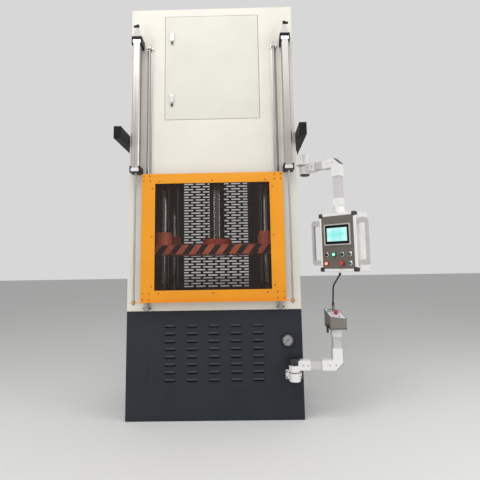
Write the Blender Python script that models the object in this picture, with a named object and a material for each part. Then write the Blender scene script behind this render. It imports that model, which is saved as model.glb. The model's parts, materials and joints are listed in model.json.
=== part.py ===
"""Four-column hydraulic press with a sheet-metal enclosure, an air-lifted guard door,
a pendant operator panel and a two-hand console.

Metres, +Z up, +X to the operator's right, +Y from the front towards the back.
The origin is on the floor, in the middle of the base. Every moving group hangs
on an empty that stands on the axis of its joint.
"""
import math

import bmesh
import bpy
from mathutils import Matrix, Vector

for old_object in list(bpy.data.objects):
    bpy.data.objects.remove(old_object, do_unlink=True)

# Clearances
SEAT = 0.0003            # between faces that rest on each other
RUN = 0.0003             # round a sliding or turning piece
DOOR_GAP = 0.003         # round the inset cabinet door
DEEP = 0.02              # how far a cutter runs past the wall it opens
FLAT = 0.0002            # radians within which neighbouring faces are one flat face

# Enclosure
WIDTH = 1.420
DEPTH = 0.920
BASE_HEIGHT = 0.850
BASE_WALL = 0.006
HOUSING_WALL = 0.004
EDGE_ROUND = 0.003
FRONT = -DEPTH / 2
BACK = DEPTH / 2
SIDE = WIDTH / 2

# Service panel with pressed louvres
PANEL_MARGIN = 0.210     # each side of the panel, where the gauge sits
PANEL_WIDTH = WIDTH - 2 * PANEL_MARGIN
PANEL_LOW = 0.265
PANEL_FROM_TOP = 0.067   # panel's top edge below the base's
PANEL_HIGH = BASE_HEIGHT - PANEL_FROM_TOP
PANEL_SHEET = 0.0025
PANEL_LAP = 0.030        # how far it laps over its opening
LOUVRE_COLUMNS = 5
LOUVRE_ROWS = 8
LOUVRE_PITCH_X = 0.1775
LOUVRE_PITCH_Z = 0.060
LOUVRE_LENGTH = 0.088
LOUVRE_END = 0.006       # length over which a hood rises at each end
LOUVRE_MOUTH = 0.012     # open slot below the lip
LOUVRE_RISE = 0.013      # height of the hood over the lip
LOUVRE_PROUD = 0.011
LOUVRE_LOW = 0.296       # lower edge of the lowest slot
LOUVRE_WALL = 0.0015

# Pressure gauge
GAUGE_INSET = 0.013      # gauge axis from the middle of the margin, towards the panel
GAUGE_X = SIDE - PANEL_MARGIN / 2 - GAUGE_INSET
GAUGE_Z = 0.609
GAUGE_RADIUS = 0.053
GAUGE_BODY_RADIUS = 0.045
GAUGE_PROUD = 0.018
GAUGE_DEPTH = 0.030

# Press frame
BED_WIDTH = 1.120
BED_DEPTH = 0.660
BED_HEIGHT = 0.230
BED_PROUD = 0.080        # top of the bed above the base
BED_SUPPORT = 0.025
COLUMN_FROM_SIDE = 0.100
COLUMN_FROM_FRONT = 0.080
COLUMN_X = BED_WIDTH / 2 - COLUMN_FROM_SIDE
COLUMN_Y = BED_DEPTH / 2 - COLUMN_FROM_FRONT
COLUMN_RADIUS = 0.050
COLUMN_END_RADIUS = 0.040
COLUMN_FACETS = 14
NUT_RADIUS = 0.062
NUT_HEIGHT = 0.060
DAYLIGHT = 1.220         # bed top to the underside of the crosshead
CROSSHEAD_HEIGHT = 0.220
BED_TOP = BASE_HEIGHT + BED_PROUD
BED_BOTTOM = BED_TOP - BED_HEIGHT
HEAD_BOTTOM = BED_TOP + DAYLIGHT
HEAD_TOP = HEAD_BOTTOM + CROSSHEAD_HEIGHT

# T-slots of the bed and the platen
TSLOT_SPREAD = 0.243     # between the two slots of one half
TSLOT_FROM_COLUMN = 0.100
TSLOT_X = (COLUMN_X - TSLOT_FROM_COLUMN - TSLOT_SPREAD, COLUMN_X - TSLOT_FROM_COLUMN)
TSLOT_NECK = 0.022
TSLOT_NECK_DEPTH = 0.018
TSLOT_HEAD = 0.038
TSLOT_HEAD_DEPTH = 0.016

# Main cylinder, ram and platen
CYLINDER_RADIUS = 0.150
BORE_RADIUS = 0.0905
CYLINDER_FLANGE_RADIUS = 0.200
CYLINDER_FLANGE = 0.050
CYLINDER_ABOVE = 0.750   # end of the cylinder above the crosshead
CYLINDER_TOP = HEAD_TOP + CYLINDER_ABOVE
CYLINDER_END = 0.070
GLAND_LENGTH = 0.100
RING_NUT_RADIUS = 0.190
RING_NUT_HEIGHT = 0.050
RAM_RADIUS = 0.070
PISTON_HEIGHT = 0.100
PISTON_ABOVE = 0.180     # piston above the crosshead in the pose of the photograph
PISTON_REST = HEAD_TOP + PISTON_ABOVE
RAM_FLANGE_RADIUS = 0.135
RAM_FLANGE = 0.063
PLATEN_ABOVE_BED = 0.378  # free height in the pose of the photograph
PLATEN_BOTTOM = BED_TOP + PLATEN_ABOVE_BED
PLATEN_HEIGHT = 0.084
BUSH_RADIUS = 0.075
BUSH_HEIGHT = 0.112
PLATEN_TOP = PLATEN_BOTTOM + PLATEN_HEIGHT

# Openings of the upper housing
PRESS_OPENING_WIDTH = 1.000
PRESS_OPENING_SILL = 0.125
PRESS_OPENING_HEIGHT = 0.955
PRESS_OPENING_LOW = BASE_HEIGHT + PRESS_OPENING_SILL
PRESS_OPENING_HIGH = PRESS_OPENING_LOW + PRESS_OPENING_HEIGHT
RETURN_DEPTH = 0.024
CABINET_WIDTH = 0.818
CABINET_HEIGHT = 0.951
CABINET_ABOVE_HEAD = 0.096
CABINET_TO_TOP = 0.073   # cabinet opening to the top of the enclosure
CABINET_LOW = HEAD_TOP + CABINET_ABOVE_HEAD
CABINET_HIGH = CABINET_LOW + CABINET_HEIGHT
TOTAL_HEIGHT = CABINET_HIGH + CABINET_TO_TOP

# Perforated rear guard
GUARD_LEFT = -0.440
GUARD_RIGHT = 0.352
GUARD_ABOVE_BASE = 0.095
GUARD_BELOW_HEAD = 0.010
GUARD_LOW = BASE_HEIGHT + GUARD_ABOVE_BASE
GUARD_HIGH = HEAD_BOTTOM - GUARD_BELOW_HEAD
GUARD_SHEET = 0.003
GUARD_LAP = 0.035
SLOT_FIELD_LEFT = -0.385
SLOT_FIELD_MARGIN = 0.055
SLOT_FIELD_LOW = GUARD_LOW + SLOT_FIELD_MARGIN
SLOT_PITCH_Z = 0.0285
SLOT_ROWS = int((GUARD_HIGH - SLOT_FIELD_MARGIN - SLOT_FIELD_LOW) / SLOT_PITCH_Z) + 1
SLOTS_PER_ROW = 5
SLOT_PITCH_X = 0.126
SLOT_LENGTH = 0.100
SLOT_HEIGHT = 0.014

# Electrical tray behind the cabinet door
TRAY_DEPTH = 0.215
TRAY_WALL = 0.002
DEVICE_ROWS = 3
DEVICES_PER_ROW = 3

# Power unit in the base
TANK_WIDTH = 0.760
TANK_DEPTH = 0.520
MOTOR_ROOM = 0.360       # height kept for the pump motor between the tank and the bed
TANK_HEIGHT = BED_BOTTOM - MOTOR_ROOM
TANK_WALL = 0.010
MOTOR_RADIUS = 0.105
MOTOR_LENGTH = 0.300
MOTOR_COWL = 0.050       # length of the fan cowl's cone
MOTOR_COWL_STEP = 0.012
MOTOR_RAISED = 0.015     # motor body above the tank lid
BELL_RADIUS = 0.075
BELL_LENGTH = 0.080
PUMP_RADIUS = 0.050
PUMP_LENGTH = 0.110
MOTOR_FOOT_HALF = 0.095
TERMINAL_HALF = 0.050
TERMINAL_HEIGHT = 0.055

# Guard door guides
RAIL_X = 0.540
RAIL_ABOVE_BASE = 0.012
RAIL_LENGTH = 2.256
RAIL_LOW = BASE_HEIGHT + RAIL_ABOVE_BASE
RAIL_HIGH = RAIL_LOW + RAIL_LENGTH
PAD_WIDTH = 0.080
PAD_PROUD = 0.008
RAIL_BASE = 0.045
RAIL_BASE_HEIGHT = 0.005
RAIL_WEB = 0.010
RAIL_HEIGHT = 0.027      # rail base to shaft centre
SHAFT_RADIUS = 0.010
RAIL_END = 0.034         # width and height of the block that holds each end of the shaft
RAIL_END_HEIGHT = 0.024
CARRIAGE_WIDTH = 0.045
CARRIAGE_LENGTH = 0.065
CARRIAGE_BACK = 0.015    # rail foot to the back of the block
CARRIAGE_HEIGHT = 0.045
CARRIAGE_BAR = 0.006
CARRIAGE_INSET = 0.030   # block from the end of its bar

# Guard door
DOOR_HALF_WIDTH = 0.586
DOOR_ABOVE_BASE = 0.075
DOOR_HEIGHT = 1.051
DOOR_LOW = BASE_HEIGHT + DOOR_ABOVE_BASE
DOOR_HIGH = DOOR_LOW + DOOR_HEIGHT
DOOR_PLATE = 0.006
WINDOW_HALF_WIDTH = 0.4735
WINDOW_FROM_FOOT = 0.093
WINDOW_FROM_TOP = 0.083
WINDOW_LOW = DOOR_LOW + WINDOW_FROM_FOOT
WINDOW_HIGH = DOOR_HIGH - WINDOW_FROM_TOP
PANE_SHEET = 0.005
PANE_LAP = 0.026
FLANGE_HALF_WIDTH = 0.664
FLANGE_SHEET = 0.005
FLANGE_DEPTH = 0.036
BAR_OUTER = 0.583
BAR_INNER = 0.505
PAD_FRONT = FRONT - PAD_PROUD
SHAFT_Y = PAD_FRONT - SEAT - RAIL_HEIGHT
BAR_BACK = PAD_FRONT - SEAT - CARRIAGE_HEIGHT - SEAT
DOOR_BACK = BAR_BACK - CARRIAGE_BAR - SEAT
DOOR_FRONT = DOOR_BACK - DOOR_PLATE

# Lifting cylinders of the guard door
AIR_X = 0.635
AIR_ABOVE_DOOR = 0.016
AIR_LENGTH = 1.158
AIR_LOW = DOOR_HIGH + AIR_ABOVE_DOOR
AIR_HIGH = AIR_LOW + AIR_LENGTH
AIR_SIDE = 0.064
AIR_CAP = 0.030
AIR_CAP_SIDE = 0.066
AIR_BORE_RADIUS = 0.025
AIR_ROD_RADIUS = 0.008
AIR_GROOVE = 0.007
AIR_CHAMFER = 0.007
AIR_PISTON = 0.030
ROD_NUT_RADIUS = 0.014
ROD_NUT_HEIGHT = 0.011
BRACKET_HALF = 0.043
BRACKET_SHEET = 0.007
BRACKET_LIP = 0.045      # how far the ears reach past the shelf
TOP_SHELF = 0.028
HORN_HEIGHT = 0.088      # tapered horn over the upper bracket
HORN_TIP = 0.011
HORN_HALF_DEPTH = 0.016
ELBOW_RADIUS = 0.013
ELBOW_REACH = 0.034
AIR_Y = DOOR_FRONT - FLANGE_DEPTH / 3

# Side bars
SIDE_BAR_WIDTH = 0.060
SIDE_BAR_HEIGHT = 0.102
SIDE_BAR_ABOVE = 0.080   # underside of the bars above the underside of the crosshead
SIDE_BAR_LOW = HEAD_BOTTOM + SIDE_BAR_ABOVE
SIDE_BAR_WALL = 0.004
SIDE_BAR_OVERHANG = 0.250

# Cabinet door hardware
DOOR_PAN_DEPTH = 0.020
DOOR_SKIN = 0.002
DOOR_PROUD = 0.002
HINGE_INSET = 0.006      # pin axis from the door's edge and from its face
HINGE_PIN_RADIUS = 0.003
HINGE_PIN = 0.012
LATCH_X = -0.348
LATCH_FROM_LOW = 0.171
LATCH_FROM_HIGH = 0.209
LATCH_HEIGHTS = {"lower": CABINET_LOW + LATCH_FROM_LOW, "upper": CABINET_HIGH - LATCH_FROM_HIGH}
LATCH_PLATE = 0.004
HANDLE_WIDTH = 0.028
HANDLE_THICK = 0.012
HANDLE_UP = 0.044        # pivot above the middle of the latch
HANDLE_DOWN = 0.026
BUTTON_WIDTH = 0.018
BUTTON_LOW = 0.052
BUTTON_HIGH = 0.033

# Pendant arm tubes
TUBE = 0.060
SLEEVE = 0.074
JOINT_RADIUS = 0.044
ELBOW_CUT = 0.053
ARM_EDGE = 0.004

# Upper arm with the operator panel
ARM_PIVOT_X = SIDE + 0.080
ARM_PIVOT_Y = FRONT + 0.080
ARM_YAW = math.radians(-41.0)
ARM_REACH = 0.3105
ELBOW_LEG = 0.084        # level leg of an elbow sleeve, from the tube it turns into
ARM_DROP = 0.360         # middle of the boom over the end of the drop tube
JOINT_BELOW = 0.050      # middle of the boom to the underside of its joint
MOUNT_ABOVE = 0.035      # middle of the boom to the underside of the fixed joint
MOUNT_HEIGHT = 0.084
ELBOW_BELOW = 0.113      # middle of the boom to the end of the elbow
DROP_SLEEVE = 0.066
COLLAR_HEIGHT = 0.055
COLLAR_RADIUS = 0.050
COLLAR_TOP_RADIUS = 0.042

# Operator panel
PANEL_BOX_HALF = 0.160
PANEL_BOX_FRONT = -0.047
PANEL_BOX_BACK = 0.159
PANEL_BOX_LOW = 1.148
PANEL_BOX_HEIGHT = 0.462
PANEL_BOX_WALL = 0.003
PANEL_TRIM = 0.022       # profile round the face: top and bottom
PANEL_EDGE = 0.021       # and at its sides
FACE_SHEET = 0.003
SCREEN_WIDTH = 0.234
SCREEN_HEIGHT = 0.172
SCREEN_FROM_TOP = 0.172  # middle of the screen
SCREEN_PROUD = 0.008
DISPLAY_WIDTH = 0.176
DISPLAY_HEIGHT = 0.108
GRIP_PROUD = 0.082
GRIP_BAR = 0.018
GRIP_ARM = 0.040         # height of the two arms
GRIP_DEPTH = 0.030
GRIP_FROM_END = 0.050
CONTROL_PITCH = 0.068
CONTROL_HEIGHTS = (0.064, 0.134)
PANEL_BOX_HIGH = PANEL_BOX_LOW + PANEL_BOX_HEIGHT
SCREEN_Z = PANEL_BOX_HIGH - SCREEN_FROM_TOP
GRIP_LOW = PANEL_BOX_LOW + GRIP_FROM_END
GRIP_HIGH = PANEL_BOX_HIGH - GRIP_FROM_END
CONTROL_ROWS = tuple(PANEL_BOX_LOW + height for height in CONTROL_HEIGHTS)
DROP_LOW = PANEL_BOX_HIGH + COLLAR_HEIGHT
ARM_Z = DROP_LOW + ARM_DROP
ARM_JOINT_LOW = ARM_Z - JOINT_BELOW
MOUNT_LOW = ARM_Z + MOUNT_ABOVE
MOUNT_HIGH = MOUNT_LOW + MOUNT_HEIGHT
STEM_RADIUS = 0.011
STEM_LENGTH = 0.030
CONTROL_FACETS = 12
GLAND_RADIUS = 0.011
GLAND_LENGTH_OUT = 0.010
GLAND_X = -0.020

# Lower arm with the console
LOWER_PIVOT_X = SIDE - 0.078
LOWER_PIVOT_Y = FRONT - 0.080
LOWER_ARM_Z = 0.435
LOWER_REACH = 0.331
LOWER_MOUNT_HEIGHT = 0.070
LOWER_SEAM = 0.053       # middle of the boom down to the seam of the joint
LOWER_JOINT_ABOVE = 0.037
RISER_ABOVE = 0.279
LOWER_MOUNT_HIGH = LOWER_ARM_Z - LOWER_SEAM
LOWER_MOUNT_LOW = LOWER_MOUNT_HIGH - LOWER_MOUNT_HEIGHT
LOWER_JOINT_HIGH = LOWER_ARM_Z + LOWER_JOINT_ABOVE
RISER_HIGH = LOWER_ARM_Z + RISER_ABOVE
CONSOLE_HALF = 0.063
CONSOLE_FRONT = -0.115
CONSOLE_BACK = 0.120
CONSOLE_HEIGHT = 0.104   # over the riser
CONSOLE_SLOPE_X = -0.14
CONSOLE_SLOPE_Y = 0.16
CONSOLE_WALL = 0.003
SOCKET_ABOVE = 0.161     # top of the cable socket over the riser
SOCKET_TOP = RISER_HIGH + SOCKET_ABOVE

# Cable between the panel and the console
CABLE_DIAMETER = 0.0125
CABLE_STRAIGHT = 0.010   # straight length out of the gland and into the plug
PLUG_HEIGHT = 0.030
PLUG_RADIUS = 0.011
CABLE_SOCKET = (0.004, 0.078)
CABLE_ROUTE = [(0.986, FRONT - 0.104, 1.087), (0.962, FRONT - 0.078, 1.038),
               (0.964, FRONT - 0.040, 0.988), (0.968, FRONT - 0.010, 0.945)]


def enough(radius):
    """Number of facets that keeps a round edge round without waste."""
    return 12 if radius < 0.03 else 16 if radius < 0.06 else 20


def keep(mesh_data, name="tool"):
    """Write a bmesh into a new linked object with its faces pointing out."""
    bmesh.ops.recalc_face_normals(mesh_data, faces=mesh_data.faces)
    mesh = bpy.data.meshes.new(name)
    mesh_data.to_mesh(mesh)
    mesh_data.free()
    piece = bpy.data.objects.new(name, mesh)
    bpy.context.collection.objects.link(piece)
    return piece


def block(x0, x1, y0, y1, z0, z1, edge=0.0):
    """A box between two corners, its edges broken by a chamfer if asked."""
    shape = bmesh.new()
    bmesh.ops.create_cube(shape, size=1.0)
    size = Matrix.Diagonal((x1 - x0, y1 - y0, z1 - z0, 1.0))
    middle = Matrix.Translation(((x0 + x1) / 2, (y0 + y1) / 2, (z0 + z1) / 2))
    bmesh.ops.transform(shape, matrix=middle @ size, verts=shape.verts)
    if edge > 0.0:
        bmesh.ops.bevel(shape, geom=shape.edges[:], offset=edge, offset_type="OFFSET",
                        segments=1, profile=0.5, affect="EDGES")
    return keep(shape)


def prism(outline, start, end, axis="Z"):
    """An outline extruded along an axis: (x, y) along Z, (x, z) along Y, (y, z) along X."""
    to_space = {
        "Z": lambda a, b: (a, b, start),
        "Y": lambda a, b: (a, start, b),
        "X": lambda a, b: (start, a, b),
    }[axis]
    run = {"Z": (0, 0, end - start), "Y": (0, end - start, 0), "X": (end - start, 0, 0)}[axis]
    shape = bmesh.new()
    face = shape.faces.new([shape.verts.new(to_space(a, b)) for a, b in outline])
    grown = bmesh.ops.extrude_face_region(shape, geom=[face])
    moved = [item for item in grown["geom"] if isinstance(item, bmesh.types.BMVert)]
    bmesh.ops.translate(shape, vec=run, verts=moved)
    return keep(shape)


def lathe(profile, centre=(0.0, 0.0, 0.0), direction=(0.0, 0.0, 1.0), facets=None, closed=False):
    """A profile of (radius, height) spun round an axis through centre along direction."""
    facets = facets or enough(max(radius for radius, _ in profile))
    shape = bmesh.new()
    points = [shape.verts.new((radius, 0.0, height)) for radius, height in profile]
    edges = [shape.edges.new(pair) for pair in zip(points, points[1:])]
    if closed:
        edges.append(shape.edges.new((points[-1], points[0])))
    bmesh.ops.spin(shape, geom=points + edges, cent=(0, 0, 0), axis=(0, 0, 1),
                   angle=math.tau, steps=facets, use_merge=True)
    bmesh.ops.remove_doubles(shape, verts=shape.verts, dist=1e-6)
    on_axis = [edge for edge in shape.edges if not edge.link_faces]
    bmesh.ops.delete(shape, geom=on_axis, context="EDGES")
    turn = Vector((0, 0, 1)).rotation_difference(Vector(direction)).to_matrix().to_4x4()
    bmesh.ops.transform(shape, matrix=Matrix.Translation(centre) @ turn, verts=shape.verts)
    return keep(shape)


def disc(radius, low, high, centre=(0.0, 0.0, 0.0), direction=(0.0, 0.0, 1.0), facets=None):
    """A plain cylinder between two heights on its axis."""
    return lathe([(0, low), (radius, low), (radius, high), (0, high)], centre, direction, facets)


def join(pieces):
    """Several closed shapes as one tool for a single Boolean."""
    shape = bmesh.new()
    for piece in pieces:
        shape.from_mesh(piece.data)
        bpy.data.objects.remove(piece, do_unlink=True)
    return keep(shape)


def flats(radius, facets):
    """Radius of a faceted hole whose flats clear a round pin of that radius as it turns."""
    return (radius + RUN) / math.cos(math.pi / facets)


def combine(base, operation, tools):
    """Apply Booleans to a base and clear the tools away."""
    for tool in tools:
        step = base.modifiers.new(operation.lower(), "BOOLEAN")
        step.operation = operation
        step.solver = "EXACT"
        step.object = tool
    view = bpy.context.evaluated_depsgraph_get()
    result = bpy.data.meshes.new_from_object(base.evaluated_get(view))
    base.modifiers.clear()
    tidy = bmesh.new()
    tidy.from_mesh(result)
    bmesh.ops.dissolve_limit(tidy, angle_limit=FLAT, verts=tidy.verts, edges=tidy.edges)
    tidy.to_mesh(result)
    tidy.free()
    base.data = result
    for tool in tools:
        bpy.data.objects.remove(tool, do_unlink=True)
    return base


def cut(base, *tools):
    return combine(base, "DIFFERENCE", tools)


def weld(base, *tools):
    return combine(base, "UNION", tools)


def finish(colour, roughness, metallic=0.0, alpha=1.0):
    """A Principled material for one sub-part."""
    material = bpy.data.materials.new("finish")
    material.use_nodes = True
    shader = material.node_tree.nodes["Principled BSDF"]
    shader.inputs["Base Color"].default_value = (*colour, 1.0)
    shader.inputs["Roughness"].default_value = roughness
    shader.inputs["Metallic"].default_value = metallic
    shader.inputs["Alpha"].default_value = alpha
    return material


IVORY = dict(colour=(0.80, 0.78, 0.69), roughness=0.45)
CHARCOAL = dict(colour=(0.040, 0.045, 0.055), roughness=0.5)
ORANGE = dict(colour=(0.85, 0.36, 0.03), roughness=0.4)
RED = dict(colour=(0.55, 0.07, 0.03), roughness=0.45)
WHITE = dict(colour=(0.85, 0.84, 0.82), roughness=0.35)
BLACK = dict(colour=(0.015, 0.015, 0.016), roughness=0.5)
CHROME = dict(colour=(0.75, 0.75, 0.76), roughness=0.12, metallic=1.0)
STEEL = dict(colour=(0.35, 0.35, 0.36), roughness=0.4, metallic=1.0)
ALUMINIUM = dict(colour=(0.66, 0.64, 0.62), roughness=0.35, metallic=1.0)
GREY_PLATE = dict(colour=(0.14, 0.12, 0.10), roughness=0.45)
GREEN = dict(colour=(0.02, 0.30, 0.14), roughness=0.3)
CLEAR = dict(colour=(0.80, 0.82, 0.82), roughness=0.05, alpha=0.25)
MOTOR_BLUE = dict(colour=(0.05, 0.13, 0.25), roughness=0.45)


def stand(name, location=(0.0, 0.0, 0.0), yaw=0.0, parent=None):
    """An empty on a joint's axis; the pieces of its group hang on it."""
    empty = bpy.data.objects.new(name, None)
    empty.location = location
    empty.rotation_euler = (0.0, 0.0, yaw)
    empty.parent = parent
    bpy.context.collection.objects.link(empty)
    return empty


def place(piece, name, look, carrier):
    """Name a finished solid, give it its material and hang it on its carrier."""
    piece.name = name
    piece.data.name = name
    piece.data.materials.clear()
    piece.data.materials.append(finish(**look))
    piece.data.materials[0].name = name
    piece.data.shade_smooth()
    piece.data.set_sharp_from_angle(angle=math.radians(32))
    piece.parent = carrier
    return piece


def both(build, *names):
    """Run a builder for the left side (-1) and the right side (+1)."""
    for side, word in ((-1, "left"), (1, "right")):
        build(side, word, *names)


def base_cabinet(root):
    wall = BASE_WALL
    shell = block(-SIDE, SIDE, FRONT, BACK, 0, BASE_HEIGHT, EDGE_ROUND)
    room = block(-SIDE + wall, SIDE - wall, FRONT + wall, BACK - wall, wall, BASE_HEIGHT - wall)
    bed_hole = block(-BED_WIDTH / 2 - SEAT, BED_WIDTH / 2 + SEAT, -BED_DEPTH / 2 - SEAT,
                     BED_DEPTH / 2 + SEAT, BASE_HEIGHT - wall - DEEP, BASE_HEIGHT + DEEP)
    half = PANEL_WIDTH / 2 - PANEL_LAP
    service = block(-half, half, FRONT - DEEP, FRONT + wall + DEEP,
                    PANEL_LOW + PANEL_LAP, PANEL_HIGH - PANEL_LAP)
    gauge = disc(GAUGE_BODY_RADIUS + RUN, -DEEP, DEEP, (GAUGE_X, FRONT, GAUGE_Z), (0, -1, 0))
    cut(shell, room, bed_hole, service, gauge)
    for side in (-1, 1):
        outer = side * BED_WIDTH / 2
        inner = side * (BED_WIDTH / 2 - BED_SUPPORT)
        weld(shell, block(min(outer, inner), max(outer, inner), -BED_DEPTH / 2, BED_DEPTH / 2,
                          wall / 2, BED_BOTTOM - SEAT))
    place(shell, "base_cabinet", CHARCOAL, root)


def hood(x, z, shrink, behind):
    """One louvre: a pressed hood over an open slot, that fades out at both ends.

    Its section runs from behind the lip, out along the lip, up the brow and back. The
    shrunk one cuts the hollow of the hood, and reaches down past the lip over the slot.
    """
    proud, rise = LOUVRE_PROUD - shrink, LOUVRE_RISE - shrink
    half = LOUVRE_LENGTH / 2 - shrink
    full = half - LOUVRE_END
    lip = -LOUVRE_MOUTH if shrink else 0.0
    face = FRONT - SEAT - PANEL_SHEET
    shape = bmesh.new()
    rings = []
    for along, grow in ((-half, 0.08), (-full, 1.0), (full, 1.0), (half, 0.08)):
        if shrink and grow < 1.0:
            grow = -0.08
        section = [(behind, lip), (-proud * grow, lip), (-proud * grow * 0.72, rise * 0.66),
                   (behind, rise)]
        rings.append([shape.verts.new((x + along, face + y, z + up)) for y, up in section])
    for ring, following in zip(rings, rings[1:]):
        for i in range(4):
            j = (i + 1) % 4
            shape.faces.new((ring[i], ring[j], following[j], following[i]))
    shape.faces.new(rings[0])
    shape.faces.new(rings[-1])
    return keep(shape)


def louvre_panel(root):
    """The bolted service panel: all hoods are welded on, then all openings are cut."""
    plate = block(-PANEL_WIDTH / 2, PANEL_WIDTH / 2, FRONT - SEAT - PANEL_SHEET, FRONT - SEAT,
                  PANEL_LOW, PANEL_HIGH)
    places = [((column - (LOUVRE_COLUMNS - 1) / 2) * LOUVRE_PITCH_X,
               LOUVRE_LOW + LOUVRE_MOUTH + row * LOUVRE_PITCH_Z)
              for column in range(LOUVRE_COLUMNS) for row in range(LOUVRE_ROWS)]
    weld(plate, join([hood(x, z, 0.0, PANEL_SHEET / 2) for x, z in places]))
    cut(plate, join([hood(x, z, LOUVRE_WALL, PANEL_SHEET * 2) for x, z in places]))
    place(plate, "louvre_panel", CHARCOAL, root)


def pressure_gauge(root):
    centre = (GAUGE_X, FRONT - SEAT, GAUGE_Z)
    towards = (0, -1, 0)
    rim = GAUGE_RADIUS - 0.006
    dial = GAUGE_PROUD - 0.010
    case = lathe([(0, -GAUGE_DEPTH), (GAUGE_BODY_RADIUS, -GAUGE_DEPTH), (GAUGE_BODY_RADIUS, 0),
                  (GAUGE_RADIUS, 0), (GAUGE_RADIUS, GAUGE_PROUD - 0.003),
                  (GAUGE_RADIUS - 0.003, GAUGE_PROUD), (rim, GAUGE_PROUD),
                  (rim, GAUGE_PROUD - 0.0045), (rim - 0.002, GAUGE_PROUD - 0.0045),
                  (rim - 0.002, dial), (0, dial)], centre, towards)
    place(case, "gauge_case", CHROME, root)
    glass = disc(rim - RUN, GAUGE_PROUD - 0.0045 + SEAT, GAUGE_PROUD - 0.0015, centre, towards)
    place(glass, "gauge_glass", CLEAR, root)
    pivot = stand("gauge_needle_axis", centre, parent=root)
    hub = disc(0.005, dial + SEAT, dial + 0.0025, direction=towards)
    tip = (-0.024, -0.024)
    tail = (0.010, 0.010)
    blade = prism([tip, (-0.0022, 0.0022), tail, (0.0022, -0.0022)],
                  -dial - 0.0010, -dial - 0.0018, "Y")
    place(weld(hub, blade), "gauge_needle", BLACK, pivot)


def t_slots(level, up):
    """Cutters for the four T-slots, sunk from a face at level, opening up (+1) or down (-1)."""
    tools = []
    for x in [side * offset for side in (-1, 1) for offset in TSLOT_X]:
        neck, head = TSLOT_NECK / 2, TSLOT_HEAD / 2
        mouth = level + up * DEEP
        shoulder = level - up * TSLOT_NECK_DEPTH
        floor = shoulder - up * TSLOT_HEAD_DEPTH
        outline = [(x - neck, mouth), (x - neck, shoulder), (x - head, shoulder), (x - head, floor),
                   (x + head, floor), (x + head, shoulder), (x + neck, shoulder), (x + neck, mouth)]
        tools.append(prism(outline, -BED_DEPTH / 2 - DEEP, BED_DEPTH / 2 + DEEP, "Y"))
    return join(tools)


def column_places():
    return [(side, end) for side in (-1, 1) for end in (-1, 1)]


def column_holes(radius, low, high):
    return join([disc(radius, low - DEEP, high + DEEP, (side * COLUMN_X, end * COLUMN_Y, 0),
                      facets=COLUMN_FACETS) for side, end in column_places()])


def press_frame(root):
    bed = block(-BED_WIDTH / 2, BED_WIDTH / 2, -BED_DEPTH / 2, BED_DEPTH / 2, BED_BOTTOM, BED_TOP)
    cut(bed, t_slots(BED_TOP, 1), column_holes(COLUMN_END_RADIUS + SEAT, BED_BOTTOM, BED_TOP))
    place(bed, "press_bed", STEEL, root)
    head = block(-BED_WIDTH / 2, BED_WIDTH / 2, -BED_DEPTH / 2, BED_DEPTH / 2,
                 HEAD_BOTTOM, HEAD_TOP, 0.006)
    cut(head, column_holes(COLUMN_END_RADIUS + SEAT, HEAD_BOTTOM, HEAD_TOP),
        disc(CYLINDER_RADIUS + SEAT, HEAD_BOTTOM - DEEP, HEAD_TOP + DEEP))
    place(head, "top_crosshead", RED, root)
    end, wide, nut = COLUMN_END_RADIUS, COLUMN_RADIUS, NUT_RADIUS
    low, high = BED_BOTTOM - SEAT, HEAD_TOP + SEAT
    profile = [(0, low - NUT_HEIGHT), (nut, low - NUT_HEIGHT), (nut, low), (end, low),
               (end, BED_TOP + SEAT), (wide, BED_TOP + SEAT),
               (wide, HEAD_BOTTOM - SEAT), (end, HEAD_BOTTOM - SEAT),
               (end, high), (nut, high), (nut, high + NUT_HEIGHT), (0, high + NUT_HEIGHT)]
    for side, way in column_places():
        words = ("front" if way < 0 else "rear", "left" if side < 0 else "right")
        column = lathe(profile, (side * COLUMN_X, way * COLUMN_Y, 0), facets=COLUMN_FACETS)
        place(column, "column_%s_%s" % words, CHROME, root)


def main_cylinder(root):
    gland = RAM_RADIUS + RUN
    flange_low = HEAD_BOTTOM - SEAT - CYLINDER_FLANGE
    profile = [(gland, flange_low), (CYLINDER_FLANGE_RADIUS, flange_low),
               (CYLINDER_FLANGE_RADIUS, HEAD_BOTTOM - SEAT), (CYLINDER_RADIUS, HEAD_BOTTOM - SEAT),
               (CYLINDER_RADIUS, HEAD_TOP + SEAT), (RING_NUT_RADIUS, HEAD_TOP + SEAT),
               (RING_NUT_RADIUS, HEAD_TOP + SEAT + RING_NUT_HEIGHT),
               (CYLINDER_RADIUS, HEAD_TOP + SEAT + RING_NUT_HEIGHT),
               (CYLINDER_RADIUS, CYLINDER_TOP - 0.01), (CYLINDER_RADIUS - 0.01, CYLINDER_TOP),
               (0, CYLINDER_TOP), (0, CYLINDER_TOP - CYLINDER_END),
               (BORE_RADIUS, CYLINDER_TOP - CYLINDER_END), (BORE_RADIUS, flange_low + GLAND_LENGTH),
               (gland, flange_low + GLAND_LENGTH)]
    body = lathe(profile + [profile[0]])
    place(body, "main_cylinder", RED, root)


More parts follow.
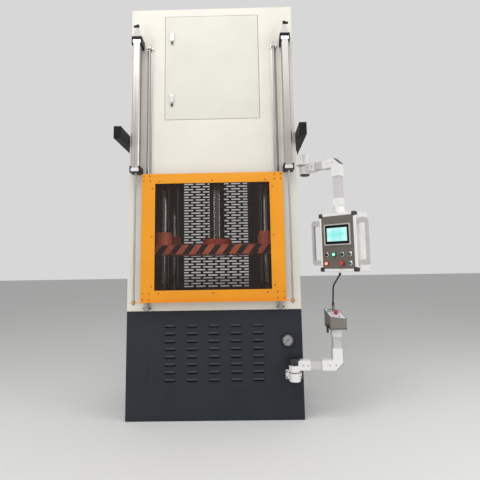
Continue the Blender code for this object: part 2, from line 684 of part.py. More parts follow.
def ram_and_platen(root):
    slide = stand("slide_axis", (0, 0, PLATEN_BOTTOM), parent=root)
    low = -PLATEN_BOTTOM
    platen = block(-BED_WIDTH / 2, BED_WIDTH / 2, -BED_DEPTH / 2, BED_DEPTH / 2,
                   0, PLATEN_HEIGHT, 0.002)
    weld(platen, join([disc(BUSH_RADIUS, PLATEN_HEIGHT / 2, PLATEN_HEIGHT + BUSH_HEIGHT,
                            (side * COLUMN_X, way * COLUMN_Y, 0), facets=16)
                       for side, way in column_places()]))
    cut(platen, column_holes(COLUMN_RADIUS + RUN, 0, PLATEN_HEIGHT + BUSH_HEIGHT), t_slots(0, -1))
    place(platen, "slide_platen", RED, slide)
    foot = PLATEN_HEIGHT + SEAT
    piston = PISTON_REST + low
    ram = lathe([(0, foot), (RAM_FLANGE_RADIUS, foot), (RAM_FLANGE_RADIUS, foot + RAM_FLANGE - 0.004),
                 (RAM_FLANGE_RADIUS - 0.004, foot + RAM_FLANGE), (RAM_RADIUS, foot + RAM_FLANGE),
                 (RAM_RADIUS, piston), (BORE_RADIUS - RUN, piston),
                 (BORE_RADIUS - RUN, piston + PISTON_HEIGHT), (0, piston + PISTON_HEIGHT)],
                facets=20)
    place(ram, "ram", CHROME, slide)


def folded_opening(shell, x0, x1, z0, z1):
    """Fold a return round an opening in the front wall, then cut the opening."""
    wall = HOUSING_WALL
    weld(shell, block(x0 - wall, x1 + wall, FRONT + wall / 2, FRONT + RETURN_DEPTH,
                      z0 - wall, z1 + wall))
    cut(shell, block(x0, x1, FRONT - DEEP, FRONT + RETURN_DEPTH + DEEP, z0, z1))


def upper_housing(root):
    wall = HOUSING_WALL
    low = BASE_HEIGHT + SEAT
    shell = block(-SIDE, SIDE, FRONT, BACK, low, TOTAL_HEIGHT, EDGE_ROUND)
    room = block(-SIDE + wall, SIDE - wall, FRONT + wall, BACK - wall,
                 low - DEEP, TOTAL_HEIGHT - wall)
    rear = block(GUARD_LEFT + GUARD_LAP, GUARD_RIGHT - GUARD_LAP, BACK - wall - DEEP, BACK + DEEP,
                 GUARD_LOW + GUARD_LAP, GUARD_HIGH - GUARD_LAP)
    cut(shell, room, rear)
    half = PRESS_OPENING_WIDTH / 2
    folded_opening(shell, -half, half, PRESS_OPENING_LOW, PRESS_OPENING_HIGH)
    half = CABINET_WIDTH / 2 + DOOR_GAP
    folded_opening(shell, -half, half, CABINET_LOW - DOOR_GAP, CABINET_HIGH + DOOR_GAP)
    x, y = CABINET_WIDTH / 2 - HINGE_INSET, FRONT - DOOR_PROUD + HINGE_INSET
    for end, way in ((CABINET_LOW, 1), (CABINET_HIGH, -1)):
        pin = sorted((end + way * HINGE_PIN, end - way * (DOOR_GAP + HOUSING_WALL / 2)))
        weld(shell, disc(HINGE_PIN_RADIUS, *pin, (x, y, 0)))
    for side in (-1, 1):
        middle = side * RAIL_X
        weld(shell, block(middle - PAD_WIDTH / 2, middle + PAD_WIDTH / 2, PAD_FRONT,
                          FRONT + wall / 2, RAIL_LOW, RAIL_HIGH))
    place(shell, "upper_housing", IVORY, root)


def slot_rows():
    """Per row of the guard: its height and the left and right ends of its slots.

    Every second row is shifted by half a pitch, and a half slot closes each row.
    """
    half_slot = SLOT_LENGTH / 2
    shift = SLOT_PITCH_X - half_slot
    rows = []
    for row in range(SLOT_ROWS):
        shifted = row % 2 == 1
        start = SLOT_FIELD_LEFT + (shift if shifted else 0.0)
        slots = [(start + i * SLOT_PITCH_X, start + i * SLOT_PITCH_X + SLOT_LENGTH)
                 for i in range(SLOTS_PER_ROW)]
        left = SLOT_FIELD_LEFT if shifted else SLOT_FIELD_LEFT + SLOTS_PER_ROW * SLOT_PITCH_X
        slots.append((left, left + half_slot))
        rows.append((SLOT_FIELD_LOW + row * SLOT_PITCH_Z, sorted(slots)))
    return rows


def rear_guard(root):
    """The perforated sheet: strips between rows, bridges between slots and four margins."""
    half = SLOT_HEIGHT / 2
    sheet = bmesh.new()
    corners = {}

    def corner(x, z):
        key = (round(x, 5), round(z, 5))
        if key not in corners:
            corners[key] = sheet.verts.new((x, BACK + SEAT, z))
        return corners[key]

    def face(points):
        sheet.faces.new([corner(x, z) for x, z in points])

    rows = slot_rows()
    left, right = rows[0][1][0][0], rows[0][1][-1][1]
    below = [(GUARD_LEFT, GUARD_LOW), (GUARD_RIGHT, GUARD_LOW)]
    sides = {left: [], right: []}
    for z, slots in rows:
        ends = [x for slot in slots for x in slot]
        face(below + [(x, z - half) for x in reversed(ends)])
        for (_, start), (end, _) in zip(slots, slots[1:]):
            face([(start, z - half), (end, z - half), (end, z + half), (start, z + half)])
        for side in sides:
            sides[side] += [(side, z - half), (side, z + half)]
        below = [(x, z + half) for x in ends]
    face(below + [(GUARD_RIGHT, GUARD_HIGH), (GUARD_LEFT, GUARD_HIGH)])
    face([(GUARD_LEFT, GUARD_LOW)] + sides[left] + [(GUARD_LEFT, GUARD_HIGH)])
    face([(GUARD_RIGHT, GUARD_HIGH)] + sides[right][::-1] + [(GUARD_RIGHT, GUARD_LOW)])
    grown = bmesh.ops.extrude_face_region(sheet, geom=sheet.faces[:])
    moved = [item for item in grown["geom"] if isinstance(item, bmesh.types.BMVert)]
    bmesh.ops.translate(sheet, vec=(0, GUARD_SHEET, 0), verts=moved)
    place(keep(sheet), "rear_guard", IVORY, root)


def equipment_tray(root):
    """The electrical tray: an open box with cable ducts and rows of switchgear."""
    half = CABINET_WIDTH / 2 + DOOR_GAP + HOUSING_WALL
    low, high = CABINET_LOW - DOOR_GAP - HOUSING_WALL, CABINET_HIGH + DOOR_GAP + HOUSING_WALL
    mouth = FRONT + RETURN_DEPTH + SEAT
    back = mouth + TRAY_DEPTH
    tray = block(-half, half, mouth, back, low, high)
    wall = TRAY_WALL
    cut(tray, block(-half + wall, half - wall, mouth - DEEP, back - wall, low + wall, high - wall))
    duct, margin = 0.040, 0.040
    devices = []
    pitch = (high - low - 2 * margin - duct) / DEVICE_ROWS
    for row in range(DEVICE_ROWS + 1):
        z = low + margin + row * pitch
        devices.append(block(-half + margin, half - margin, back - 0.060, back - wall / 2,
                             z, z + duct))
    for row in range(DEVICE_ROWS):
        z = low + margin + duct + row * pitch
        for index in range(DEVICES_PER_ROW):
            x = -half + 0.085 + index * 0.235
            tall = pitch - duct - 0.070 - 0.030 * ((index + row) % 2)
            deep = 0.075 + 0.020 * ((index + 2 * row) % 3)
            devices.append(block(x, x + 0.180, back - deep, back - wall / 2,
                                 z + 0.035, z + 0.035 + tall))
    weld(tray, *devices)
    place(tray, "equipment_tray", WHITE, root)


def power_unit(root):
    low = BASE_WALL + SEAT
    top = low + TANK_HEIGHT
    half_w, half_d = TANK_WIDTH / 2, TANK_DEPTH / 2
    tank = block(-half_w, half_w, -half_d, half_d, low, top - 0.006, 0.004)
    lid = block(-half_w - 0.015, half_w + 0.015, -half_d - 0.015, half_d + 0.015, top - 0.008, top)
    filler = disc(0.035, 0, 0.045, (half_w - 0.080, half_d - 0.080, top - 0.004))
    wall = TANK_WALL
    oil = block(-half_w + wall, half_w - wall, -half_d + wall, half_d - wall, low + wall, top - wall)
    suction = disc(0.030, top - DEEP, top + DEEP)
    place(cut(weld(tank, lid, filler), oil, suction), "oil_tank", CHARCOAL, root)
    axis_z = top + SEAT + MOTOR_RADIUS + MOTOR_RAISED
    end = MOTOR_LENGTH
    bell, pump = end + BELL_LENGTH, end + BELL_LENGTH + PUMP_LENGTH
    start = -pump / 2
    profile = [(0, 0), (MOTOR_RADIUS - MOTOR_COWL_STEP, 0), (MOTOR_RADIUS, MOTOR_COWL),
               (MOTOR_RADIUS, end), (BELL_RADIUS, end), (BELL_RADIUS, bell),
               (PUMP_RADIUS, bell), (PUMP_RADIUS, pump), (0, pump)]
    motor = lathe(profile, (start, 0, axis_z), (1, 0, 0), facets=14)
    feet = block(start + MOTOR_COWL, start + end * 0.75, -MOTOR_FOOT_HALF, MOTOR_FOOT_HALF,
                 top + SEAT, axis_z - MOTOR_RADIUS * 0.7)
    seat = axis_z + MOTOR_RADIUS * 0.8
    terminal = block(start + end * 0.3, start + end * 0.65, -TERMINAL_HALF, TERMINAL_HALF,
                     seat, seat + TERMINAL_HEIGHT)
    place(weld(motor, feet, terminal), "pump_motor", MOTOR_BLUE, root)


def arc(centre, radius, start, end, steps):
    """Points on an arc, from start to end in degrees."""
    angles = [math.radians(start + (end - start) * step / steps) for step in range(steps + 1)]
    return [(centre[0] + radius * math.cos(a), centre[1] + radius * math.sin(a)) for a in angles]


def guide_rail(side, word, root):
    """A supported round rail: foot, web and shaft in one section, with a stop at the top."""
    x, foot = side * RAIL_X, PAD_FRONT - SEAT
    base, web = RAIL_BASE / 2, RAIL_WEB / 2
    grip = math.degrees(math.asin(web / SHAFT_RADIUS))
    shaft = arc((x, SHAFT_Y), SHAFT_RADIUS, 90 - grip, -270 + grip, 14)
    outline = [(x - base, foot), (x - base, foot - RAIL_BASE_HEIGHT), (x - web, foot - 0.009)]
    outline += list(reversed(shaft))
    outline += [(x + web, foot - 0.009), (x + base, foot - RAIL_BASE_HEIGHT), (x + base, foot)]
    rail = prism(outline, RAIL_LOW, RAIL_HIGH)
    half, high, over = RAIL_END / 2, RAIL_END_HEIGHT, 0.004
    stops = [block(x - half, x + half, SHAFT_Y - SHAFT_RADIUS - over, foot, z, z + high)
             for z in (RAIL_LOW - over, RAIL_HIGH + over - high)]
    place(weld(rail, *stops), "guide_rail_" + word, ALUMINIUM, root)


def lifting_cylinder(side, word, root):
    x = side * AIR_X
    half, groove, deep = AIR_SIDE / 2, AIR_GROOVE / 2, 0.004
    corner = half - AIR_CHAMFER
    quarter = [(-corner, -half), (-groove, -half), (-groove, -half + deep), (groove, -half + deep),
               (groove, -half), (corner, -half)]
    outline = []
    for turn in range(4):
        c, s = math.cos(turn * math.pi / 2), math.sin(turn * math.pi / 2)
        outline += [(x + c * a - s * b, AIR_Y + s * a + c * b) for a, b in quarter]
    barrel = prism(outline, AIR_LOW + AIR_CAP / 2, AIR_HIGH - AIR_CAP / 2)
    cap = AIR_CAP_SIDE / 2
    weld(barrel, *[block(x - cap, x + cap, AIR_Y - cap, AIR_Y + cap, z, z + AIR_CAP)
                   for z in (AIR_LOW, AIR_HIGH - AIR_CAP)])
    cut(barrel, disc(AIR_BORE_RADIUS, AIR_LOW + AIR_CAP, AIR_HIGH - AIR_CAP, (x, AIR_Y, 0), facets=12),
        disc(AIR_ROD_RADIUS + RUN, AIR_LOW - DEEP, AIR_LOW + AIR_CAP + DEEP, (x, AIR_Y, 0)))
    place(barrel, "air_barrel_" + word, ALUMINIUM, root)


def saddle(x, low, up, shelf):
    """A folded saddle that carries one end of a lifting cylinder: back, two ears and a shelf."""
    half = BRACKET_HALF
    front = AIR_Y - AIR_CAP_SIDE / 2 - BRACKET_SHEET / 2
    inner = AIR_CAP_SIDE / 2 + SEAT
    high = low + shelf + BRACKET_LIP
    body = block(x - half, x + half, front, FRONT - SEAT, low, high, 0.002)
    hollow = block(x - inner, x + inner, front - DEEP, AIR_Y + inner,
                   low + shelf if up > 0 else low - DEEP, high + DEEP if up > 0 else high - shelf)
    return cut(body, hollow)


def cylinder_brackets(side, word, root):
    """The lower saddle, and the upper one with its tapered horn and elbow fitting."""
    x = side * AIR_X
    low = AIR_LOW - SEAT - BRACKET_SHEET
    lower = cut(saddle(x, low, 1, BRACKET_SHEET),
                disc(AIR_ROD_RADIUS + BRACKET_SHEET / 2, low - DEEP, low + DEEP, (x, AIR_Y, 0)))
    place(lower, "air_bracket_low_" + word, BLACK, root)
    top = AIR_HIGH + SEAT + TOP_SHELF
    upper = saddle(x, AIR_HIGH + SEAT - BRACKET_LIP, -1, TOP_SHELF)
    tip = top + HORN_HEIGHT
    base = BRACKET_HALF - 0.001
    horn = prism([(x - base, top - TOP_SHELF / 2), (x + base, top - TOP_SHELF / 2), (x + base, top),
                  (x + HORN_TIP, tip), (x - HORN_TIP, tip), (x - base, top)],
                 AIR_Y - HORN_HALF_DEPTH, AIR_Y + HORN_HALF_DEPTH, "Y")
    stem = disc(ELBOW_RADIUS, tip - 0.004, tip + ELBOW_REACH, (x, AIR_Y, 0))
    outlet = disc(ELBOW_RADIUS * 0.8, 0, ELBOW_REACH,
                  (x, AIR_Y, tip + ELBOW_REACH - ELBOW_RADIUS), (side, 0, 0))
    place(weld(upper, horn, stem, outlet), "air_bracket_top_" + word, BLACK, root)


def side_bar(side, word, root):
    """Rectangular tube along the side wall that runs out past the front, capped there."""
    inner, outer = side * (SIDE + SEAT), side * (SIDE + SEAT + SIDE_BAR_WIDTH)
    left, right = min(inner, outer), max(inner, outer)
    front, wall = FRONT - SIDE_BAR_OVERHANG, SIDE_BAR_WALL
    high = SIDE_BAR_LOW + SIDE_BAR_HEIGHT
    bar = block(left, right, front, BACK, SIDE_BAR_LOW, high, 0.003)
    cut(bar, block(left + wall, right - wall, front + 2 * wall, BACK + DEEP,
                   SIDE_BAR_LOW + wall, high - wall))
    place(bar, "side_bar_" + word, BLACK, root)


def guard_door(root):
    door = stand("guard_door_axis", parent=root)
    half = DOOR_HALF_WIDTH
    plate = block(-half, half, DOOR_FRONT, DOOR_BACK, DOOR_LOW, DOOR_HIGH, 0.001)
    foot = block(-FLANGE_HALF_WIDTH, FLANGE_HALF_WIDTH, DOOR_FRONT - FLANGE_DEPTH + DOOR_PLATE,
                 DOOR_BACK, DOOR_LOW, DOOR_LOW + FLANGE_SHEET)
    weld(plate, foot)
    window = block(-WINDOW_HALF_WIDTH, WINDOW_HALF_WIDTH, DOOR_FRONT - DEEP, DOOR_BACK + DEEP,
                   WINDOW_LOW, WINDOW_HIGH)
    holes = [disc(AIR_ROD_RADIUS + SEAT, DOOR_LOW - DEEP, DOOR_LOW + DEEP, (side * AIR_X, AIR_Y, 0))
             for side in (-1, 1)]
    cut(plate, window, *holes)
    place(plate, "door_frame", ORANGE, door)
    half = WINDOW_HALF_WIDTH + PANE_LAP
    pane = block(-half, half, DOOR_BACK + SEAT, DOOR_BACK + SEAT + PANE_SHEET,
                 WINDOW_LOW - PANE_LAP, WINDOW_HIGH + PANE_LAP)
    place(pane, "door_pane", CLEAR, door)
    both(door_carriage, door)
    both(piston_rod, door)


def door_carriage(side, word, door):
    """A bar behind the frame with two open linear bearings that run on the shaft."""
    inner, outer = side * BAR_INNER, side * BAR_OUTER
    bar = block(min(inner, outer), max(inner, outer), DOOR_BACK + SEAT, BAR_BACK + SEAT,
                DOOR_LOW + 0.025, DOOR_HIGH - 0.020)
    x = side * RAIL_X
    half = CARRIAGE_WIDTH / 2
    back = PAD_FRONT - SEAT - CARRIAGE_BACK
    ends = (DOOR_LOW + CARRIAGE_INSET, DOOR_HIGH - CARRIAGE_INSET - CARRIAGE_LENGTH)
    weld(bar, *[block(x - half, x + half, BAR_BACK, back, z, z + CARRIAGE_LENGTH, 0.002)
                for z in ends])
    run = SHAFT_RADIUS + RUN
    slot = RAIL_WEB / 2 + 0.003
    low, high = DOOR_LOW, DOOR_HIGH
    cut(bar, disc(run, low, high, (x, SHAFT_Y, 0), facets=16),
        block(x - slot, x + slot, SHAFT_Y, back + DEEP, low, high))
    place(bar, "door_carriage_" + word, STEEL, door)


def piston_rod(side, word, door):
    """Rod, piston and the two nuts that clamp the door's foot."""
    nut, rod = ROD_NUT_RADIUS, AIR_ROD_RADIUS
    low = DOOR_LOW - SEAT
    high = DOOR_LOW + FLANGE_SHEET + SEAT
    piston = AIR_LOW + AIR_CAP + 0.020
    profile = [(0, low - ROD_NUT_HEIGHT - 0.006), (rod, low - ROD_NUT_HEIGHT - 0.006),
               (rod, low - ROD_NUT_HEIGHT), (nut, low - ROD_NUT_HEIGHT), (nut, low), (rod, low),
               (rod, high), (nut, high), (nut, high + ROD_NUT_HEIGHT), (rod, high + ROD_NUT_HEIGHT),
               (rod, piston), (AIR_BORE_RADIUS - RUN, piston),
               (AIR_BORE_RADIUS - RUN, piston + AIR_PISTON), (0, piston + AIR_PISTON)]
    rod_piece = lathe(profile, (side * AIR_X, AIR_Y, 0), facets=12)
    place(rod_piece, "piston_rod_" + word, CHROME, door)


def cabinet_door(root):
    """A folded pan that turns on two hidden pins at its right edge, with two plane locks."""
    hinge = stand("cabinet_door_axis", (CABINET_WIDTH / 2 - HINGE_INSET,
                                        FRONT - DOOR_PROUD + HINGE_INSET, 0), parent=root)
    right, left, face = HINGE_INSET, HINGE_INSET - CABINET_WIDTH, -HINGE_INSET
    skin = DOOR_SKIN
    pan = block(left, right, face, face + DOOR_PAN_DEPTH, CABINET_LOW, CABINET_HIGH, 0.0015)
    cut(pan, block(left + skin, right - skin, face + skin, face + DOOR_PAN_DEPTH + DEEP,
                   CABINET_LOW + skin, CABINET_HIGH - skin),
        *[disc(HINGE_PIN_RADIUS + RUN, z - DEEP, z + DEEP) for z in (CABINET_LOW, CABINET_HIGH)])
    x = LATCH_X - hinge.location.x
    for z in LATCH_HEIGHTS.values():
        weld(pan, block(x - 0.018, x + 0.018, face - LATCH_PLATE, face + skin / 2,
                        z - 0.058, z + 0.056, 0.0015))
        half = BUTTON_WIDTH / 2 + RUN
        cut(pan, block(x - half, x + half, face - DEEP, face + DEEP / 2, z - BUTTON_LOW - RUN,
                       z - BUTTON_HIGH + RUN))
    place(pan, "cabinet_door", IVORY, hinge)
    for word, z in LATCH_HEIGHTS.items():
        latch(word, x, face, z, hinge)


def latch(word, x, face, z, hinge):
    """A plane lock: the paddle swings out from its top end once the button is pressed."""
    radius = HANDLE_THICK / 2
    back = face - LATCH_PLATE - SEAT
    pivot = stand("latch_%s_axis" % word, (x, back - radius, z + HANDLE_UP), parent=hinge)
    low = -HANDLE_UP - HANDLE_DOWN
    outline = arc((0, 0), radius, 0, 180, 6) + [(-radius, low + 0.006), (-radius + 0.003, low),
                                                (radius, low)]
    paddle = prism(outline, -HANDLE_WIDTH / 2, HANDLE_WIDTH / 2, "X")
    place(paddle, "latch_paddle_" + word, WHITE, pivot)
    half = BUTTON_WIDTH / 2
    button = block(x - half, x + half, face - LATCH_PLATE - 0.008, face + DEEP / 4,
                   z - BUTTON_LOW, z - BUTTON_HIGH, 0.001)
    place(button, "latch_button_" + word, BLACK, hinge)


def square(x, y, side, z0, z1, edge=0.0):
    half = side / 2
    return block(x - half, x + half, y - half, y + half, z0, z1, edge)


def arm_elbow(reach, level, end, cut_side):
    """The outline of an elbow sleeve whose outer corner is cut at 45 degrees."""
    half = SLEEVE / 2
    far, near = reach + half, reach - half
    back = reach - half - ELBOW_LEG
    up = 1 if end < level else -1
    outer = level + up * half
    inner = level - up * half
    outline = [(back, inner), (back, outer), (far - cut_side, outer), (far, outer - up * cut_side),
               (far, end), (near, end), (near, inner)]
    return prism(outline, -half, half, "Y")


def upper_arm(root):
    neck = 0.040
    mount = block(SIDE + SEAT, SIDE + 0.012, ARM_PIVOT_Y - 0.052, ARM_PIVOT_Y + 0.052,
                  MOUNT_LOW - 0.012, MOUNT_HIGH + 0.030, ARM_EDGE)
    arm_root = block(SIDE + 0.006, ARM_PIVOT_X, ARM_PIVOT_Y - neck, ARM_PIVOT_Y + neck,
                     MOUNT_LOW, MOUNT_HIGH - 0.004)
    cap = lathe([(0, MOUNT_LOW), (JOINT_RADIUS, MOUNT_LOW), (JOINT_RADIUS, MOUNT_HIGH - 0.006),
                 (JOINT_RADIUS - 0.006, MOUNT_HIGH), (0, MOUNT_HIGH)],
                (ARM_PIVOT_X, ARM_PIVOT_Y, 0), facets=20)
    place(weld(mount, arm_root, cap), "upper_arm_mount", WHITE, root)
    arm = stand("upper_arm_axis", (ARM_PIVOT_X, ARM_PIVOT_Y, 0), ARM_YAW, root)
    joint = disc(JOINT_RADIUS, ARM_JOINT_LOW, MOUNT_LOW - SEAT, facets=20)
    half, tube = SLEEVE / 2, TUBE / 2
    sleeve = block(0.020, 0.112, -half, half, ARM_Z - half, MOUNT_LOW - SEAT, ARM_EDGE)
    boom = block(0.090, ARM_REACH - 0.050, -tube, tube, ARM_Z - tube, ARM_Z + tube)
    elbow_end = ARM_Z - ELBOW_BELOW
    elbow = arm_elbow(ARM_REACH, ARM_Z, elbow_end, ELBOW_CUT)
    drop = square(ARM_REACH, 0, TUBE, DROP_LOW + DROP_SLEEVE / 3, elbow_end + DROP_SLEEVE / 3)
    socket = square(ARM_REACH, 0, SLEEVE, DROP_LOW, DROP_LOW + DROP_SLEEVE, ARM_EDGE)
    place(weld(joint, sleeve, boom, elbow, drop, socket), "upper_arm", WHITE, arm)
    operator_panel(arm)


def grip(side):
    """A bent side handle: two arms and a bar with cut corners."""
    inner = PANEL_BOX_HALF - 0.001
    outer = PANEL_BOX_HALF + GRIP_PROUD
    corner, fillet = 0.016, 0.006
    inside, low, high = outer - GRIP_BAR, GRIP_LOW + GRIP_ARM, GRIP_HIGH - GRIP_ARM
    ring = [(inner, GRIP_LOW), (outer - corner, GRIP_LOW), (outer, GRIP_LOW + corner),
            (outer, GRIP_HIGH - corner), (outer - corner, GRIP_HIGH), (inner, GRIP_HIGH),
            (inner, high), (inside - fillet, high), (inside, high - fillet),
            (inside, low + fillet), (inside - fillet, low), (inner, low)]
    front = PANEL_BOX_FRONT + 0.012
    return prism([(side * x, z) for x, z in ring], front, front + GRIP_DEPTH, "Y")


def operator_panel(arm):
    box = stand("operator_panel_axis", (ARM_REACH, 0, 0), parent=arm)
    half, wall = PANEL_BOX_HALF, PANEL_BOX_WALL
    front, back = PANEL_BOX_FRONT, PANEL_BOX_BACK
    low, high = PANEL_BOX_LOW, PANEL_BOX_HIGH
    case = block(-half, half, front - FACE_SHEET, back, low, high, 0.005)
    face_low, face_high = low + PANEL_TRIM, high - PANEL_TRIM
    side, rest = half - PANEL_EDGE, 0.012
    cut(case, block(-half + wall, half - wall, front + wall, back - wall, low + wall, high - wall),
        block(-side, side, front - FACE_SHEET - DEEP, front, face_low, face_high),
        block(-side + rest, side - rest, front - DEEP, front + DEEP,
              face_low + rest, face_high - rest))
    collar = lathe([(0, high - wall / 2), (COLLAR_RADIUS, high - wall / 2),
                    (COLLAR_RADIUS, high + COLLAR_HEIGHT / 3), (COLLAR_TOP_RADIUS, DROP_LOW - SEAT),
                    (0, DROP_LOW - SEAT)], facets=20)
    gland = disc(GLAND_RADIUS, low - GLAND_LENGTH_OUT, low + wall / 2, (GLAND_X, 0, 0))
    weld(case, collar, gland, grip(-1), grip(1))
    place(case, "panel_case", WHITE, box)
    face = block(-side + SEAT, side - SEAT, front - FACE_SHEET, front - SEAT,
                 face_low + SEAT, face_high - SEAT)
    stem = flats(STEM_RADIUS, CONTROL_FACETS)
    holes = [disc(stem, -DEEP, DEEP, (x, front, z), (0, -1, 0), CONTROL_FACETS)
             for x, z, *_ in panel_controls()]
    hole = block(-DISPLAY_WIDTH / 2 - 0.004, DISPLAY_WIDTH / 2 + 0.004, front - DEEP, front + DEEP,
                 SCREEN_Z - DISPLAY_HEIGHT / 2 - 0.004, SCREEN_Z + DISPLAY_HEIGHT / 2 + 0.004)
    place(cut(face, hole, *holes), "panel_face", GREY_PLATE, box)
    operator_screen(box, front - FACE_SHEET - SEAT)
    for x, z, name, kind, look in panel_controls():
        control(name, kind, look, box, (x, front - FACE_SHEET - SEAT, z), (0, -1, 0))


def operator_screen(box, seat):
    """The touch screen: a bezel on the face, a shallow display well and a body behind."""
    half_w, half_h = SCREEN_WIDTH / 2, SCREEN_HEIGHT / 2
    bezel = block(-half_w, half_w, seat - SCREEN_PROUD, seat,
                  SCREEN_Z - half_h, SCREEN_Z + half_h, 0.002)
    body = block(-DISPLAY_WIDTH / 2, DISPLAY_WIDTH / 2, seat - 0.002, seat + 0.035,
                 SCREEN_Z - DISPLAY_HEIGHT / 2, SCREEN_Z + DISPLAY_HEIGHT / 2)
    well = block(-DISPLAY_WIDTH / 2 - 0.012, DISPLAY_WIDTH / 2 + 0.012,
                 seat - SCREEN_PROUD - DEEP, seat - SCREEN_PROUD + 0.0015,
                 SCREEN_Z - DISPLAY_HEIGHT / 2 - 0.012, SCREEN_Z + DISPLAY_HEIGHT / 2 + 0.012)
    place(cut(weld(bezel, body), well), "touch_screen", BLACK, box)


def panel_controls():
    """Place, name, kind and colour of each control on the operator panel."""
    lower, upper = CONTROL_ROWS
    column = [(index - 1.5) * CONTROL_PITCH for index in range(4)]
    return [(column[0], upper, "mode_selector", "selector", BLACK),
            (column[1], upper, "start_button", "button", GREEN),
            (column[2], upper, "motion_selector", "selector", BLACK),
            (column[3], upper, "raise_button", "button", GREEN),
            (column[0], lower, "stop_button", "button", RED),
            (column[2], lower, "panel_emergency_stop", "mushroom", RED),
            (column[3], lower, "lower_button", "button", GREEN)]


HEADS = {
    "button": [(0.0145, 0.0), (0.0145, 0.006), (0.0125, 0.0075), (0.0125, 0.013), (0, 0.0145)],
    "selector": [(0.0145, 0.0), (0.0145, 0.007), (0.0120, 0.009), (0, 0.009)],
    "mushroom": [(0.0140, 0.0), (0.0140, 0.012), (0.0195, 0.017), (0.0195, 0.024),
                 (0.0150, 0.029), (0, 0.030)],
}
TRAVEL = 0.004           # a push-button's stroke; its head stands that far off the face


def control(name, kind, look, carrier, seat, towards):
    """A push-button, selector or mushroom head with its stem, on an empty on its axis."""
    lift = 0.0 if kind == "selector" else TRAVEL
    axis = stand(name + "_axis", seat, parent=carrier)
    head = [(radius, height + lift) for radius, height in HEADS[kind]]
    stem = [(0, -STEM_LENGTH), (STEM_RADIUS, -STEM_LENGTH), (STEM_RADIUS, head[0][1])]
    piece = lathe(stem + head, direction=towards, facets=CONTROL_FACETS)
    if kind == "selector":
        knob = block(-0.0045, 0.0045, -0.020, -0.006, -0.0135, 0.0135, 0.0015)
        weld(piece, knob)
    place(piece, name, look, axis)


def console_top(x, y):
    """Height of the console's sloping lid over the riser axis."""
    return RISER_HIGH + CONSOLE_HEIGHT + CONSOLE_SLOPE_X * x + CONSOLE_SLOPE_Y * y


def wedge(shrink, low):
    """The console's body: a box whose lid slopes to the right and to the front."""
    shape = bmesh.new()
    bmesh.ops.create_cube(shape, size=2.0)
    half = CONSOLE_HALF - shrink
    front, back = CONSOLE_FRONT + shrink, CONSOLE_BACK - shrink
    for corner in shape.verts:
        x = half if corner.co.x > 0 else -half
        y = back if corner.co.y > 0 else front
        z = console_top(x, y) - shrink if corner.co.z > 0 else low
        corner.co = (x, y, z)
    if shrink == 0.0:
        bmesh.ops.bevel(shape, geom=shape.edges[:], offset=EDGE_ROUND, offset_type="OFFSET",
                        segments=1, profile=0.5, affect="EDGES")
    return keep(shape)


def console_controls():
    """Place on the lid, name, kind and colour of each control of the console."""
    return [(0.002, -0.010, "console_emergency_stop", "mushroom", RED),
            (-0.034, 0.052, "cycle_button_left", "button", BLACK),
            (0.034, 0.052, "cycle_button_right", "button", BLACK)]


def lower_arm(root):
    mount_y = FRONT - SEAT
    low, high = LOWER_MOUNT_LOW, LOWER_MOUNT_HIGH
    x, y = LOWER_PIVOT_X, LOWER_PIVOT_Y
    plate = block(x - 0.064, x + 0.064, FRONT - 0.012, mount_y, low, high, 0.003)
    neck = block(x - 0.040, x + 0.040, y, FRONT - 0.006, low + 0.006, high)
    foot = lathe([(0, low), (JOINT_RADIUS - 0.004, low), (JOINT_RADIUS, low + 0.004),
                  (JOINT_RADIUS, high), (0, high)], (x, y, 0), facets=20)
    place(weld(plate, neck, foot), "lower_arm_mount", WHITE, root)
    arm = stand("lower_arm_axis", (x, y, 0), parent=root)
    joint = lathe([(0, high + SEAT), (JOINT_RADIUS, high + SEAT), (JOINT_RADIUS, LOWER_JOINT_HIGH),
                   (JOINT_RADIUS - 0.006, LOWER_JOINT_HIGH + 0.006),
                   (0, LOWER_JOINT_HIGH + 0.006)], facets=20)
    half, tube = SLEEVE / 2, TUBE / 2
    level, reach = LOWER_ARM_Z, LOWER_REACH
    sleeve = block(0.020, 0.120, -half, half, level - half, level + half, ARM_EDGE)
    boom = block(0.100, reach - 0.050, -tube, tube, level - tube, level + tube)
    elbow = arm_elbow(reach, level, level + 0.125, ELBOW_CUT)
    riser = square(reach, 0, TUBE, level + 0.110, RISER_HIGH - 0.040)
    socket = square(reach, 0, SLEEVE, RISER_HIGH - 0.068, RISER_HIGH - SEAT, ARM_EDGE)
    place(weld(joint, sleeve, boom, elbow, riser, socket), "lower_arm", WHITE, arm)
    console(arm)


def console(arm):
    box = stand("console_axis", (LOWER_REACH, 0, 0), parent=arm)
    body = wedge(0.0, RISER_HIGH)
    cut(body, wedge(CONSOLE_WALL, RISER_HIGH + CONSOLE_WALL),
        disc(0.020, RISER_HIGH - DEEP, RISER_HIGH + DEEP))
    normal = Vector((-CONSOLE_SLOPE_X, -CONSOLE_SLOPE_Y, 1.0)).normalized()
    x, y = CABLE_SOCKET
    socket = disc(PLUG_RADIUS + 0.002, console_top(x, y) - 0.004, SOCKET_TOP, (x, y, 0))
    elbow_y = CONSOLE_FRONT + 0.045
    left = -CONSOLE_HALF
    stub = disc(0.010, -0.002, 0.020, (left, elbow_y, 0.738), (-1, 0, 0))
    tail = disc(0.009, 0.686, 0.746, (left - 0.014, elbow_y, 0))
    weld(body, socket, stub, tail)
    for x, y, *_ in console_controls():
        cut(body, disc(flats(STEM_RADIUS, CONTROL_FACETS), -DEEP, DEEP,
                       (x, y, console_top(x, y)), normal, CONTROL_FACETS))
    place(body, "console", GREY_PLATE, box)
    for x, y, name, kind, look in console_controls():
        seat = Vector((x, y, console_top(x, y))) + normal * SEAT
        control(name, kind, look, box, seat, normal)


